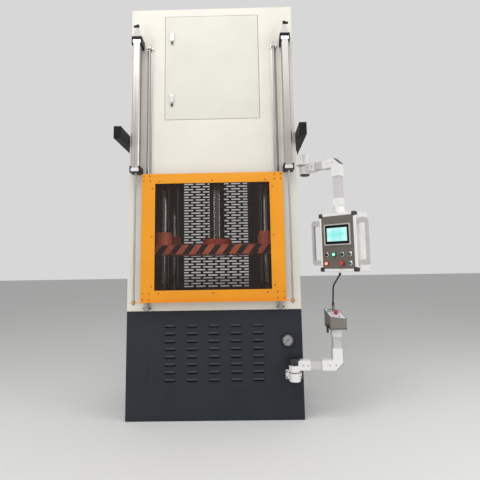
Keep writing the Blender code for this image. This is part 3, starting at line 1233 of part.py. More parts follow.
def smooth_route(points, per_span):
    """A Catmull-Rom curve through the points, straight along its first and last span."""
    ends = [points[0]] + points + [points[-1]]
    route = []
    for span, corners in enumerate(zip(ends, ends[1:], ends[2:], ends[3:])):
        a, b, c, d = (Vector(corner) for corner in corners)
        steps = 1 if span in (0, len(points) - 2) else per_span
        for step in range(steps):
            t = step / steps
            route.append(b + 0.5 * t * ((c - a) + t * ((2 * a - 5 * b + 4 * c - d)
                                                      + t * (3 * (b - c) + d - a))))
    return route + [Vector(points[-1])]


def cable(root):
    """The cable from the operator panel's gland down to its plug on the console."""
    turn = Matrix.Rotation(ARM_YAW, 3, "Z")
    gland = Vector((ARM_PIVOT_X, ARM_PIVOT_Y, 0)) + turn @ Vector((ARM_REACH + GLAND_X, 0, 0))
    start = PANEL_BOX_LOW - GLAND_LENGTH_OUT - SEAT
    x, y = LOWER_PIVOT_X + LOWER_REACH + CABLE_SOCKET[0], LOWER_PIVOT_Y + CABLE_SOCKET[1]
    seat = SOCKET_TOP + SEAT
    end = seat + PLUG_HEIGHT + SEAT
    route = [(gland.x, gland.y, start), (gland.x, gland.y, start - CABLE_STRAIGHT)]
    route += CABLE_ROUTE + [(x, y, end + CABLE_STRAIGHT), (x, y, end)]
    curve = bpy.data.curves.new("panel_cable", "CURVE")
    curve.dimensions = "3D"
    curve.bevel_depth = CABLE_DIAMETER / 2
    curve.bevel_resolution = 2
    curve.use_fill_caps = True
    points = smooth_route(route, 2)
    line = curve.splines.new("POLY")
    line.points.add(len(points) - 1)
    for point, at in zip(line.points, points):
        point.co = (*at, 1.0)
    piece = bpy.data.objects.new("panel_cable", curve)
    bpy.context.collection.objects.link(piece)
    curve.materials.append(finish(**BLACK))
    piece.parent = root
    plug = lathe([(0, seat), (PLUG_RADIUS, seat), (PLUG_RADIUS, seat + PLUG_HEIGHT * 0.6),
                  (CABLE_DIAMETER * 0.66, seat + PLUG_HEIGHT), (0, seat + PLUG_HEIGHT)], (x, y, 0))
    place(plug, "cable_plug", BLACK, root)


machine = stand("press_origin")
base_cabinet(machine)
louvre_panel(machine)
pressure_gauge(machine)
press_frame(machine)
main_cylinder(machine)
ram_and_platen(machine)
upper_housing(machine)
rear_guard(machine)
equipment_tray(machine)
power_unit(machine)
both(guide_rail, machine)
both(lifting_cylinder, machine)
both(cylinder_brackets, machine)
both(side_bar, machine)
guard_door(machine)
cabinet_door(machine)
upper_arm(machine)
lower_arm(machine)
cable(machine)
bpy.context.view_layer.update()
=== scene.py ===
# %% [markdown]
# # A four-column hydraulic press, dressed for a studio photograph
#
# This notebook keeps those solids where their shape is right, puts smooth turned
# and swept surfaces where a faceted solid would show, adds the small fittings,
# and gives every surface a finish.

import json
import math

import bmesh
import bpy
import numpy as np
from mathutils import Matrix, Vector

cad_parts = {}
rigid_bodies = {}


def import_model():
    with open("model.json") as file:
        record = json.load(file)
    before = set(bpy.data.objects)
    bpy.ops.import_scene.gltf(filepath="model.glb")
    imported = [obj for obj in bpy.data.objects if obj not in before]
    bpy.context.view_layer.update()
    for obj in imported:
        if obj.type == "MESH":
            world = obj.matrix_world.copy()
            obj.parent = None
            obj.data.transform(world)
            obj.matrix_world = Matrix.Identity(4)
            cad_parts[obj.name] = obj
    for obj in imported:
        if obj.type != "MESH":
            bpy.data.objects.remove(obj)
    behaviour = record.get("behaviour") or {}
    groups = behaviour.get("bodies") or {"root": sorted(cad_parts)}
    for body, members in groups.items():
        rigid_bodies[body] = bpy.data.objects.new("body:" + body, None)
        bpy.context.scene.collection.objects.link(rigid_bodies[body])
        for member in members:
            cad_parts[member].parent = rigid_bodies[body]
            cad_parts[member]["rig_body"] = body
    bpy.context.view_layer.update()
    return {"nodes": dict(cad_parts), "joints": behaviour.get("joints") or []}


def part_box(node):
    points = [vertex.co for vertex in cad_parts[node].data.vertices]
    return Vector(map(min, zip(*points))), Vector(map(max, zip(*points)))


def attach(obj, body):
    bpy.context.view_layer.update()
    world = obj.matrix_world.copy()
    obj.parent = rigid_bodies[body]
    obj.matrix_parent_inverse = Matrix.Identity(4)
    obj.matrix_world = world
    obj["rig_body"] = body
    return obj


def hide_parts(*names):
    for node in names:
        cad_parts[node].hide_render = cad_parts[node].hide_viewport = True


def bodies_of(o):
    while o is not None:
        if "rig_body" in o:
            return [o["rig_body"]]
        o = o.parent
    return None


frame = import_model()
nodes = frame["nodes"]
print("pieces in the frame:", len(nodes))

# %% [markdown]
# ## The camera
#
# The photograph was taken from the left of the operator panel, at chest height,
# tilted up by a few degrees. The lens stands 3.4 m in front of the machine, so the
# perspective is strong: a long lens from further back would flatten the deep window.

# %% Camera
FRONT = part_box("base_cabinet")[0].y
PHOTO = 480
LENS_DISTANCE = 3.3661
EYE = Vector((0.2766, FRONT - LENS_DISTANCE, 1.2083))
YAW, PITCH, ROLL = (math.radians(a) for a in (-0.868, 7.224, -0.953))
FOCAL_PIXELS = 406.03
HORIZON_SHIFT = 26 / PHOTO
SENSOR = 36.0


def linked(name, data):
    """A new object for the data, in the scene."""
    made = bpy.data.objects.new(name, data)
    bpy.context.scene.collection.objects.link(made)
    return made


ahead = Vector((math.sin(YAW) * math.cos(PITCH), math.cos(YAW) * math.cos(PITCH), math.sin(PITCH)))
level = Vector((math.cos(YAW), -math.sin(YAW), 0.0))
above = level.cross(ahead)
right = level * math.cos(ROLL) + above * math.sin(ROLL)
upward = above * math.cos(ROLL) - level * math.sin(ROLL)

lens = bpy.data.cameras.new("camera")
lens.sensor_width = SENSOR
lens.lens = FOCAL_PIXELS / PHOTO * SENSOR
lens.shift_y = -HORIZON_SHIFT
camera = linked("camera", lens)
turn = Matrix((right, upward, -ahead)).transposed()
camera.matrix_world = Matrix.Translation(EYE) @ turn.to_4x4()
bpy.context.scene.camera = camera
print("focal length", round(lens.lens, 2), "mm")

# %% [markdown]
# ## Node helpers
#
# Every shader is wired with the same few helpers. What a node is given may be a
# number, a colour or the output that feeds it.

# %% Node helpers


def feed(tree, socket, value):
    """Give an input a link from an output, or a constant."""
    if isinstance(value, bpy.types.NodeSocket):
        tree.links.new(value, socket)
    elif socket.type == "RGBA":
        socket.default_value = (*value[:3], 1.0)
    else:
        socket.default_value = value


def wire(tree, target, **values):
    """Feed a node's inputs by name."""
    for name, value in values.items():
        feed(tree, target.inputs[name.replace("_", " ")], value)


def node(tree, kind, *feeds, **values):
    """A node: feeds go to its inputs in turn, values to its properties or inputs by name."""
    made = tree.nodes.new("ShaderNode" + kind)
    for name, value in values.items():
        if hasattr(made, name):
            setattr(made, name, value)
        else:
            wire(tree, made, **{name: value})
    for socket, value in zip(made.inputs, feeds):
        feed(tree, socket, value)
    return made


def calc(tree, operation, *feeds):
    """The result of a Math node."""
    return node(tree, "Math", *feeds, operation=operation).outputs[0]


def ranged(tree, source, low, high, from_low=0.0, from_high=1.0):
    """Carry an output's from_low to from_high over to low to high."""
    return node(tree, "MapRange", source, From_Min=from_low, From_Max=from_high,
                To_Min=low, To_Max=high).outputs[0]


def mix(tree, factor, first, second):
    """A colour between two others, by a factor."""
    blend = node(tree, "Mix", factor, data_type="RGBA")
    feed(tree, blend.inputs[6], first)
    feed(tree, blend.inputs[7], second)
    return blend.outputs[2]


def axes_of(tree, output="Object"):
    """The X, Y and Z of a texture coordinate."""
    return node(tree, "SeparateXYZ", node(tree, "TexCoord").outputs[output]).outputs


def new_material(name):
    """A material with its node tree and its Principled shader."""
    material = bpy.data.materials.new(name)
    material.use_nodes = True
    return material, material.node_tree, material.node_tree.nodes["Principled BSDF"]


print("node helpers ready")

# %% [markdown]
# ## The studio
#
# A pale floor takes the shadow and an even, dim sky fills the shade. The hall's light
# comes from overhead, so the main lamp is a broad one above and in front: it draws the
# shadow under each louvre and under the door's foot. Two weaker lamps open up the left
# side and the operator panel's right side, and two tall strips draw the bright lines on
# the chrome. The background is pale only for the camera and in reflections, so it adds
# no light to the machine.

# %% Floor, sky and lamps
SKY = 0.40
BACKDROP = 0.68          # a pale grey, so that white arms stand out against it
GLOSS_SHARE = 0.60       # how much of it reflections see
KEY_POWER, LEFT_POWER, RIGHT_POWER = 144.0, 34.0, 56.0
STRIP_POWER = 26.0       # narrow, so that chrome shows it as one bright line
FLOOR_REACH, FLOOR_LEVEL = 40.0, -0.002
STRIP_PLACE, STRIP_SIZE = (3.9, -4.7, 1.9), (0.35, 2.8)


def pale_floor():
    """A flat floor of pale paper, far wider than the picture."""
    mesh = bpy.data.meshes.new("floor")
    mesh.from_pydata([(x * FLOOR_REACH, y * FLOOR_REACH, FLOOR_LEVEL)
                      for x, y in ((-1, -1), (1, -1), (1, 1), (-1, 1))], [], [(0, 1, 2, 3)])
    paper, tree, shader = new_material("pale floor")
    wire(tree, shader, Base_Color=(0.86, 0.86, 0.85), Roughness=0.9)
    mesh.materials.append(paper)
    linked("floor", mesh)


def studio_sky():
    """A world that is dim as light, and pale for the camera and in reflections."""
    world = bpy.data.worlds.new("studio sky")
    bpy.context.scene.world = world
    world.use_nodes = True
    tree = world.node_tree
    rays = node(tree, "LightPath").outputs
    seen = calc(tree, "MAXIMUM", rays["Is Camera Ray"], rays["Is Transmission Ray"])
    shiny = calc(tree, "MULTIPLY", rays["Is Glossy Ray"], GLOSS_SHARE)
    wire(tree, tree.nodes["Background"], Color=(1, 1, 1),
         Strength=ranged(tree, calc(tree, "MAXIMUM", seen, shiny), SKY, BACKDROP))


def lamp(name, place, aim, size, power, tall=None):
    """A soft box at place, facing aim: square, or a tall strip."""
    light = bpy.data.lights.new(name, "AREA")
    light.size = size
    if tall:
        light.shape = "RECTANGLE"
        light.size_y = tall
    light.energy = power
    holder = linked(name, light)
    holder.location = place
    holder.rotation_euler = (Vector(aim) - Vector(place)).to_track_quat("-Z", "Y").to_euler()


pale_floor()
studio_sky()
lamp("key", (-0.6, -4.0, 6.2), (0.0, -0.2, 1.2), 3.2, KEY_POWER)
lamp("left", (-4.2, -3.6, 2.6), (0.0, 0.0, 1.4), 2.4, LEFT_POWER)
lamp("right", (4.2, -2.6, 3.0), (0.4, 0.0, 1.4), 2.4, RIGHT_POWER)
for side, name in ((1, "right strip"), (-1, "left strip")):
    lamp(name, (side * STRIP_PLACE[0], *STRIP_PLACE[1:]), (0.0, 0.0, 1.6), STRIP_SIZE[0],
         STRIP_POWER, STRIP_SIZE[1])
bpy.context.scene.view_settings.view_transform = "Standard"
print("sky", SKY, "key", KEY_POWER, "W")

# %% [markdown]
# ## Shared surface effects
#
# Paint, metal and plastic all carry the same few effects in different strengths:
# a fine orange-peel skin, slow patches of handling and dust, and the long fine
# scratches that milling leaves. Each is a node group, built once, that gives out
# only masks and heights, so every finish can place it with its own numbers.

# %% Node groups


def group(name, inputs, build):
    """A group with float inputs (name: default) and the outputs that build returns."""
    tree = bpy.data.node_groups.new(name, "ShaderNodeTree")
    for label, value in inputs.items():
        socket = tree.interface.new_socket(label, in_out="INPUT", socket_type="NodeSocketFloat")
        socket.default_value = value
    results = build(tree, tree.nodes.new("NodeGroupInput").outputs)
    for label in results:
        tree.interface.new_socket(label, in_out="OUTPUT", socket_type="NodeSocketFloat")
    end = tree.nodes.new("NodeGroupOutput")
    for label, result in results.items():
        tree.links.new(result, end.inputs[label])
    return tree


def paint_skin(tree, start):
    """Skin: fine noise. Patches: slow noise, stretched to lie in 0 to 1."""
    place = node(tree, "TexCoord").outputs["Object"]
    fine = node(tree, "TexNoise", Vector=place, Scale=start["Grain"], Detail=2.0, Roughness=0.5)
    slow = node(tree, "TexNoise", Vector=place, Scale=start["Patch"], Detail=6.0, Roughness=0.62)
    return {"Skin": fine.outputs["Fac"],
            "Patches": ranged(tree, slow.outputs["Fac"], 0.0, 1.0, 0.38, 0.66)}


def metal_grain(tree, start):
    """Long scratches: noise sampled in a space that is squeezed along one axis."""
    place = node(tree, "TexCoord").outputs["Object"]
    squeeze = node(tree, "CombineXYZ", *[start["Across " + axis] for axis in "XYZ"])
    scaled = node(tree, "VectorMath", place, squeeze.outputs[0], operation="MULTIPLY")
    lines = node(tree, "TexNoise", Vector=scaled.outputs[0], Scale=1.0, Detail=3.0)
    tone = node(tree, "TexNoise", Vector=place, Scale=4.0, Detail=4.0)
    return {"Lines": lines.outputs["Fac"], "Tone": tone.outputs["Fac"]}


def box_mask(tree, start):
    """1 inside an upright box, 0 outside: the product of six step functions of position."""
    place = axes_of(tree)
    mask = 1.0
    for axis in "XYZ":
        for word, test in ((" low", "GREATER_THAN"), (" high", "LESS_THAN")):
            mask = calc(tree, "MULTIPLY", mask, calc(tree, test, place[axis], start[axis + word]))
    return {"Mask": mask}


FAR_OFF = 4.0            # a side of the box mask that isn't given lies beyond the machine
PAINT_SKIN = group("Paint skin", {"Grain": 420.0, "Patch": 2.2}, paint_skin)
METAL_GRAIN = group("Metal grain", {"Across X": 300.0, "Across Y": 300.0, "Across Z": 6.0},
                    metal_grain)
BOX_MASK = group("Inside a box", {axis + word: way * FAR_OFF for axis in "XYZ"
                                  for word, way in ((" low", -1), (" high", 1))}, box_mask)
print("node groups:", [tree.name for tree in bpy.data.node_groups])

# %% [markdown]
# ## Finishes
#
# A finish is a Principled shader fed by those groups. Powder coat is nearly flat
# in colour, so its life comes from a bump of about a tenth of a millimetre and from
# a roughness that changes where hands and rags have been.

# %% Paint, plastic and metal


def painted(name, colour, shade=0.90, rough=(0.36, 0.50), grain=420.0, depth=0.00012,
            patch=2.2, coat=0.0, specular=0.5):
    """Paint, powder coat or plastic: colour, darker patches, fine skin."""
    material, tree, shader = new_material(name)
    skin = node(tree, "Group", node_tree=PAINT_SKIN, Grain=grain, Patch=patch).outputs
    dull = tuple(channel * shade for channel in colour)
    bump = node(tree, "Bump", Strength=0.5, Distance=depth, Height=skin["Skin"])
    wire(tree, shader, Base_Color=mix(tree, skin["Patches"], colour, dull),
         Roughness=ranged(tree, skin["Patches"], *rough), Normal=bump.outputs[0],
         Coat_Weight=coat, Coat_Roughness=0.12, Specular_IOR_Level=specular)
    return material


def metal(name, colour, rough=(0.18, 0.34), along="Z", depth=0.00006):
    """Bare metal with its machining lines along one axis."""
    material, tree, shader = new_material(name)
    squeeze = {"Across_" + axis: (5.0 if axis == along else 420.0) for axis in "XYZ"}
    grain = node(tree, "Group", node_tree=METAL_GRAIN, **squeeze).outputs
    dark = tuple(channel * 0.80 for channel in colour)
    bump = node(tree, "Bump", Strength=0.4, Distance=depth, Height=grain["Lines"])
    wire(tree, shader, Base_Color=mix(tree, grain["Tone"], colour, dark),
         Roughness=ranged(tree, grain["Lines"], *rough), Normal=bump.outputs[0], Metallic=1.0)
    return material


def clear(name, tint, alpha, rough, specular):
    """A thin clear sheet: mostly open, with a faint veil and a soft gloss."""
    material, tree, shader = new_material(name)
    skin = node(tree, "Group", node_tree=PAINT_SKIN, Grain=60.0, Patch=1.4).outputs
    wire(tree, shader, Base_Color=tint, Roughness=rough, Specular_IOR_Level=specular,
         Alpha=ranged(tree, skin["Patches"], alpha * 0.8, alpha * 1.2))
    return material


def inside(tree, **sides):
    """A mask: 1 on the inner side of each side that is given, such as Z_low or Y_high."""
    return node(tree, "Group", node_tree=BOX_MASK, **sides).outputs["Mask"]


def overlaid(material, mask, colour):
    """Turn a finish to another colour where the mask, a function of the tree, is 1."""
    tree = material.node_tree
    base = tree.nodes["Principled BSDF"].inputs["Base Color"]
    tree.links.new(mix(tree, mask(tree), base.links[0].from_socket, colour), base)
    return material


def dress(material, names):
    """Give the CAD nodes named in one string a finish."""
    for name in names.split():
        nodes[name].data.materials.clear()
        nodes[name].data.materials.append(material)


# %% Finishes of the solids
IVORY = (0.80, 0.765, 0.685)
CHARCOAL = dict(colour=(0.0262, 0.0308, 0.0395), shade=0.82, rough=(0.42, 0.56), specular=0.22)
BRACKET = dict(colour=(0.008, 0.008, 0.009), shade=1.5, rough=(0.38, 0.58), specular=0.18)

black_coat = painted("black bracket coat", **BRACKET)
black_plastic = painted("black plastic", (0.011, 0.011, 0.012), shade=1.5, rough=(0.28, 0.42),
                        specular=0.6)
red_plastic = painted("red plastic", (0.46, 0.020, 0.012), shade=0.85, rough=(0.22, 0.34),
                      coat=0.3)
green_plastic = painted("green plastic", (0.010, 0.085, 0.040), shade=0.8, rough=(0.20, 0.32),
                        coat=0.3)
rubber = painted("black rubber", (0.014, 0.013, 0.013), shade=1.4, rough=(0.5, 0.7), grain=700.0,
                 depth=0.00005, specular=0.3)
black_steel = painted("blackened screw", (0.014, 0.013, 0.012), shade=1.5, rough=(0.25, 0.4))
ram_chrome = metal("ram chrome", (0.34, 0.33, 0.325), rough=(0.16, 0.24), depth=0.000002)
dark_chrome = metal("oiled column chrome", (0.24, 0.225, 0.215), rough=(0.07, 0.12),
                    depth=0.000004)
rod_chrome = metal("piston rod", (0.40, 0.39, 0.385), rough=(0.30, 0.38), depth=0.000002)
silver = metal("silver collar", (0.78, 0.78, 0.78), rough=(0.12, 0.22))
zinc = metal("zinc plate", (0.68, 0.68, 0.70), rough=(0.20, 0.32), along="X")
glass = clear("gauge glass", (0.4, 0.4, 0.4), 0.05, 0.03, 0.25)
SOLIDS = {
    "cabinet_door": painted(
        "cabinet door powder coat", (0.722, 0.704, 0.628), shade=0.95, rough=(0.40, 0.52)),
    "base_cabinet oil_tank": painted("charcoal powder coat", **CHARCOAL),
    "door_frame": painted(
        "orange door paint", (0.86, 0.335, 0.016), shade=0.92, rough=(0.32, 0.44), coat=0.10,
        specular=0.3),
    "upper_arm lower_arm upper_arm_mount lower_arm_mount": painted(
        "arm powder coat", (0.86, 0.845, 0.83), shade=0.95, rough=(0.30, 0.42)),
    "air_bracket_low_left air_bracket_low_right side_bar_left side_bar_right": black_coat,
    "top_crosshead main_cylinder": painted(
        "red machine paint", (0.52, 0.085, 0.045), shade=0.75, rough=(0.40, 0.60), patch=5.0),
    "equipment_tray": painted("tray white", (0.70, 0.69, 0.66), shade=0.9),
    "pump_motor": painted("motor blue", (0.045, 0.11, 0.21), shade=0.8, patch=7.0),
    "panel_face": painted(
        "panel face anodising", (0.138, 0.116, 0.096), shade=0.88, rough=(0.32, 0.44),
        grain=900.0, depth=0.00004),
    "panel_case": painted("panel case coat", (0.87, 0.86, 0.84), shade=0.94, rough=(0.30, 0.42)),
    # the console's dark coat is painted shade; its lid is made paler below as a painted highlight
    "console": painted("console painted shade coat", (0.215, 0.197, 0.165), shade=0.86, rough=(0.28, 0.44)),
    "latch_button_lower latch_button_upper": black_plastic,
    "press_bed door_carriage_left door_carriage_right": metal(
        "milled steel", (0.32, 0.31, 0.30), rough=(0.30, 0.48), along="X"),
    "guide_rail_left guide_rail_right": metal(
        "rail aluminium", (0.46, 0.44, 0.425), rough=(0.38, 0.46), depth=0.000006),
    "latch_paddle_lower latch_paddle_upper": zinc,
    "door_pane": clear("polycarbonate sheet", (0.060, 0.048, 0.042), 0.27, 0.05, 0.10)}
for names, finish in SOLIDS.items():
    dress(finish, names)
print("finishes:", len(bpy.data.materials))

# %% [markdown]
# Some finishes ask where on the machine a point lies. The housing is powder coated
# outside and coloured dark inside, where the press works, as painted shade, and so
# does the guard behind it on the side that faces the press. The upper sides of the
# louvre hoods are coloured lighter, a painted highlight for the light from above. The
# upper brackets are black plates with a light cast horn, and the barrels' end caps
# are brighter than the tube.

# %% Finishes with two colours
WALL_IN = 0.0025
# painted shade: the dark colour inside the housing and on the guard's inner side
INSIDE_SHADE = (0.045, 0.036, 0.031)
# painted highlight: the lighter charcoal on the upper sides of the louvre hoods
HOOD_TOP_HIGHLIGHT = (0.080, 0.088, 0.105)
SHEET = 0.0028           # how far the louvred sheet stands before the base
HORN_LOW, HORN_HIGH = 3.178, 3.266
HORN_LIGHT, CAP_LIGHT = (0.60, 0.59, 0.57), (0.90, 0.90, 0.90)
CAP_HEIGHT, CAP_CLEAR = 0.030, 0.01
HIGHLIGHT_CLEAR = 0.0006      # the painted highlight begins this far before the sheet, on the hoods alone
SHADE_DEPTH = 0.0005    # the guard carries painted shade on the side that faces the press


def lit_hood_tops(tree):
    """Painted highlight: 1 on what faces up before the louvred sheet; it grows with the normal's
    Z.
    """
    share = ranged(tree, axes_of(tree, "Normal")["Z"], 0.0, 0.85, 0.12, 0.70)
    return calc(tree, "MULTIPLY", share, inside(tree, Y_high=FRONT - SHEET - HIGHLIGHT_CLEAR))


def banded(material, colour, low, high):
    """Recolour a band of heights of a finish."""
    return overlaid(material, lambda tree: inside(tree, Z_low=low, Z_high=high), colour)


def shaded_inside(name, **room):
    """Powder coat outside, and painted shade, a dark colour, within a room."""
    coat = painted(name, IVORY, shade=0.95, rough=(0.40, 0.52))
    return overlaid(coat, lambda tree: inside(tree, **room), INSIDE_SHADE)


low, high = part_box("upper_housing")
# the housing and the guard: ivory outside, painted shade on their inner sides
dress(shaded_inside("housing coat with painted shade inside", X_low=low.x + WALL_IN, X_high=high.x - WALL_IN,
             Y_low=FRONT + WALL_IN, Y_high=high.y - WALL_IN, Z_low=0.0, Z_high=high.z - WALL_IN),
      "upper_housing")
guard_low, guard_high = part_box("rear_guard")
shaded_guard_coat = shaded_inside("guard coat with painted shade", Y_high=guard_low.y + SHADE_DEPTH)
# the louvre hoods: charcoal with a painted highlight on their upper sides
dress(overlaid(painted("charcoal with painted hood highlight", **CHARCOAL), lit_hood_tops, HOOD_TOP_HIGHLIGHT), "louvre_panel")
dress(banded(painted("bracket with horn", **BRACKET), HORN_LIGHT, HORN_LOW, HORN_HIGH),
      "air_bracket_top_left air_bracket_top_right")
barrel_low, barrel_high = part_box("air_barrel_left")
capped = metal("capped barrel", (0.60, 0.565, 0.545), rough=(0.32, 0.42), depth=0.00001)
for bottom, top in ((barrel_high.z - CAP_HEIGHT, barrel_high.z + CAP_CLEAR),
                    (barrel_low.z - CAP_CLEAR, barrel_low.z + CAP_HEIGHT)):
    banded(capped, CAP_LIGHT, bottom, top)
dress(capped, "air_barrel_left air_barrel_right")
print("barrel caps up to", round(barrel_high.z, 3))

# %% [markdown]
# ## Shapes
#
# New pieces are numpy surfaces: a profile turned about an axis, or an outline given
# a thickness. Each is built round its own origin, with its front along local Z, and
# then carried to its seat by three axes: side, up and out. Seats and axes are read
# from the frame, so a piece stays where the engineered solid is.

# %% Surfaces
UPRIGHT = np.eye(3)


def bent(profile, radius=0.001, steps=3):
    """The profile with its inner corners rounded: each becomes a quadratic curve."""
    points = np.array(profile, float)
    before, corner, after = points[:-2], points[1:-1], points[2:]

    def towards(end):
        span = end - corner
        size = np.maximum(np.linalg.norm(span, axis=1, keepdims=True), 1e-9)
        return corner + span / size * np.minimum(radius, size * 0.4)

    start, stop = towards(before), towards(after)
    t = np.linspace(0.0, 1.0, steps + 1)[:, None, None]
    curve = (1 - t) ** 2 * start + 2 * t * (1 - t) * corner + t ** 2 * stop
    return np.vstack([points[:1], curve.transpose(1, 0, 2).reshape(-1, 2), points[-1:]])


def turned(profile, steps=40):
    """Surface of revolution: (r cos a, r sin a, z) for each profile point and angle."""
    radius, height = np.array(profile, float).T
    angle = np.linspace(0.0, 2 * np.pi, steps, endpoint=False)
    points = np.stack([np.outer(radius, np.cos(angle)), np.outer(radius, np.sin(angle)),
                       np.repeat(height[:, None], steps, axis=1)], axis=-1).reshape(-1, 3)
    row, column = np.indices((len(radius) - 1, steps))
    here, beside = row * steps + column, row * steps + (column + 1) % steps
    faces = np.stack([here, beside, beside + steps, here + steps], axis=-1).reshape(-1, 4)
    return points, faces.tolist()


def slab(outline, low, high):
    """A closed prism: the outline at two heights, joined by its walls."""
    outline = np.array(outline, float)
    count = len(outline)
    points = np.vstack([np.column_stack([outline, np.full(count, z)]) for z in (low, high)])
    here = np.arange(count)
    beside = (here + 1) % count
    walls = np.column_stack([here, beside, beside + count, here + count]).tolist()
    return points, walls + [here[::-1].tolist(), (here + count).tolist()]


def oblong(half_width, half_height, radius=0.002, steps=4, centre=(0.0, 0.0)):
    """A rectangle with round corners: four quarter circles joined by straight sides."""
    angle = np.linspace(0.0, np.pi / 2, steps + 1) + np.pi / 2 * np.arange(4)[:, None]
    across = np.array([1, -1, -1, 1])[:, None] * (half_width - radius) + radius * np.cos(angle)
    upright = np.array([1, 1, -1, -1])[:, None] * (half_height - radius) + radius * np.sin(angle)
    return np.column_stack([across.ravel() + centre[0], upright.ravel() + centre[1]])


def joined(shapes):
    """Several shapes as one: points stacked, faces renumbered."""
    points, faces, start = [], [], 0
    for corners, loops in shapes:
        points.append(corners)
        faces += [[index + start for index in loop] for loop in loops]
        start += len(corners)
    return np.vstack(points), faces


def moved(shape, origin, axes=UPRIGHT):
    """The shape with its X, Y, Z laid along the three axes, at origin."""
    points, faces = shape
    return points @ np.asarray(axes) + np.asarray(origin), faces


def lathe(profile, edge, steps, corner=3, place=(0, 0, 0), axes=UPRIGHT):
    """The profile with corners rounded by edge, turned and carried to its place."""
    return moved(turned(bent(profile, edge, corner), steps), place, axes)


def band(inner, outer, low, high):
    """The closed profile of a flat ring."""
    return [(inner, low), (outer, low), (outer, high), (inner, high), (inner, low)]


def dome(radius, level, rise, start, count):
    """The profile of a dome: (r cos a, level + rise sin a) from the start angle to the top."""
    return [(radius * math.cos(a), level + rise * math.sin(a))
            for a in np.linspace(start, np.pi / 2, count)]


def four_strips(half_w, half_h, width, low, high):
    """Strips round a rectangle; the level pair is a little thicker, so that none coincide."""
    round_off, more = 0.0005, 0.0002
    strips = []
    for side in (-1, 1):
        across, along = side * (half_w - width / 2), side * (half_h - width / 2)
        strips += [slab(oblong(width / 2, half_h, round_off, 1, (across, 0.0)), low, high),
                   slab(oblong(half_w, width / 2, round_off, 1, (0.0, along)), low, high + more)]
    return joined(strips)


# %% Seats in the frame
FLAT = np.array([1.0, 1.0, 0.0])
UP = np.array([0.0, 0.0, 1.0])


def axes_for(out):
    """Side, up and out of a face that looks along out."""
    out = np.array(out, float) / np.linalg.norm(out)
    side = np.cross(UP, out)
    side = side / np.linalg.norm(side) if np.linalg.norm(side) > 1e-6 else np.array([1.0, 0, 0])
    return np.array([side, np.cross(out, side), out])


FORWARD = axes_for((0, -1, 0))


def corners_of(name):
    """The world points of a CAD node, one a row."""
    mesh = nodes[name].data
    flat = np.empty(len(mesh.vertices) * 3)
    mesh.vertices.foreach_get("co", flat)
    return flat.reshape(-1, 3)


def seat_on(name, out, within=0.0006):
    """The node's outermost flat side along out: its middle, half width, half height, axes."""
    axes = axes_for(out)
    local = corners_of(name) @ axes.T
    face = local[local[:, 2] > local[:, 2].max() - within]
    low, high = face.min(axis=0), face.max(axis=0)
    middle = np.array([*(low + high)[:2] / 2, high[2]])
    return middle @ axes, *(high - low)[:2] / 2, axes


def joint(key, value):
    """The joint whose name, or whose child, is the value."""
    return next(j for j in frame["joints"] if j[key] == value)


def joint_at(name):
    """A joint's point in the frame."""
    return np.array(joint("name", name)["pos_m"], float)


def body_of(name):
    """The body that a CAD node rides on."""
    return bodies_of(nodes[name])[0]


def middle_of(name):
    """The middle of a node's box."""
    low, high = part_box(name)
    return np.array((low + high) / 2)


def half_of(name):
    """Half the width, depth and height of a node's box."""
    low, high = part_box(name)
    return np.array((high - low) / 2)


def profile_of(name, centre):
    """A turned solid's profile, read back from its rings: radius and height along its axis."""
    local = corners_of(name) - centre
    rings = np.unique(np.column_stack([local[:, 2], np.hypot(local[:, 0], local[:, 1])]).round(4),
                      axis=0)
    heights = np.unique(rings[:, 0])
    profile = [(0.0, heights[0])]
    for height in heights:
        radii = rings[(rings[:, 0] == height) & (rings[:, 1] > 0), 1]
        if abs(radii[0] - profile[-1][0]) > abs(radii[-1] - profile[-1][0]):
            radii = radii[::-1]
        profile += [(radius, height) for radius in radii]
    return profile + [(0.0, heights[-1])]


# %% Finished pieces


def make(name, shape, body, material, replacing=(), sharp=32.0, soft=0.0):
    """A piece on its body, from a shape or a mesh: welded, smooth but for its sharp edges."""
    mesh = shape
    if isinstance(shape, tuple):
        mesh = bpy.data.meshes.new(name)
        mesh.from_pydata(shape[0].tolist(), [], shape[1])
    work = bmesh.new()
    work.from_mesh(mesh)
    bmesh.ops.remove_doubles(work, verts=work.verts[:], dist=1e-6)
    bmesh.ops.recalc_face_normals(work, faces=work.faces[:])
    work.to_mesh(mesh)
    work.free()
    mesh.shade_smooth()
    mesh.set_sharp_from_angle(angle=math.radians(sharp))
    mesh.materials.clear()
    mesh.materials.append(material)
    piece = linked(name, mesh)
    if soft:
        bevel = piece.modifiers.new("soft edges", "BEVEL")
        bevel.width = soft
        bevel.segments = 2
        bevel.limit_method = "ANGLE"
        bevel.angle_limit = math.radians(sharp)
        bevel.harden_normals = True
    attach(piece, body)
    if replacing:
        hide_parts(*replacing)
    return piece


def repeated(name, one, places, axes, body, material, soft=0.0):
    """One shape at many places, all facing alike, as one piece."""
    heads = joined([moved(one, place, axes) for place in places])
    return make(name, heads, body, material, soft=soft)


print("shape tools ready")

# %% [markdown]
# ## Turned metal
#
# Columns, ram and rods are solids of revolution. Their profiles are read back from
# the engineered solids and turned again with many more steps and with rounded edges,
# so that chrome shows one clean line of light. The ram's flange is painted.

# %% Columns, ram and rods
flange_red = painted("flange paint", (0.92, 0.165, 0.095), shade=0.7, rough=(0.34, 0.5), patch=9.0)

for names, material in (("column_front_left column_front_right column_rear_left "
                         "column_rear_right", dark_chrome),
                        ("piston_rod_left piston_rod_right", rod_chrome)):
    for name in names.split():
        centre = middle_of(name) * FLAT
        shape = lathe(profile_of(name, centre), 0.002, 56, place=centre)
        make(name + "_turned", shape, body_of(name), material, [name])

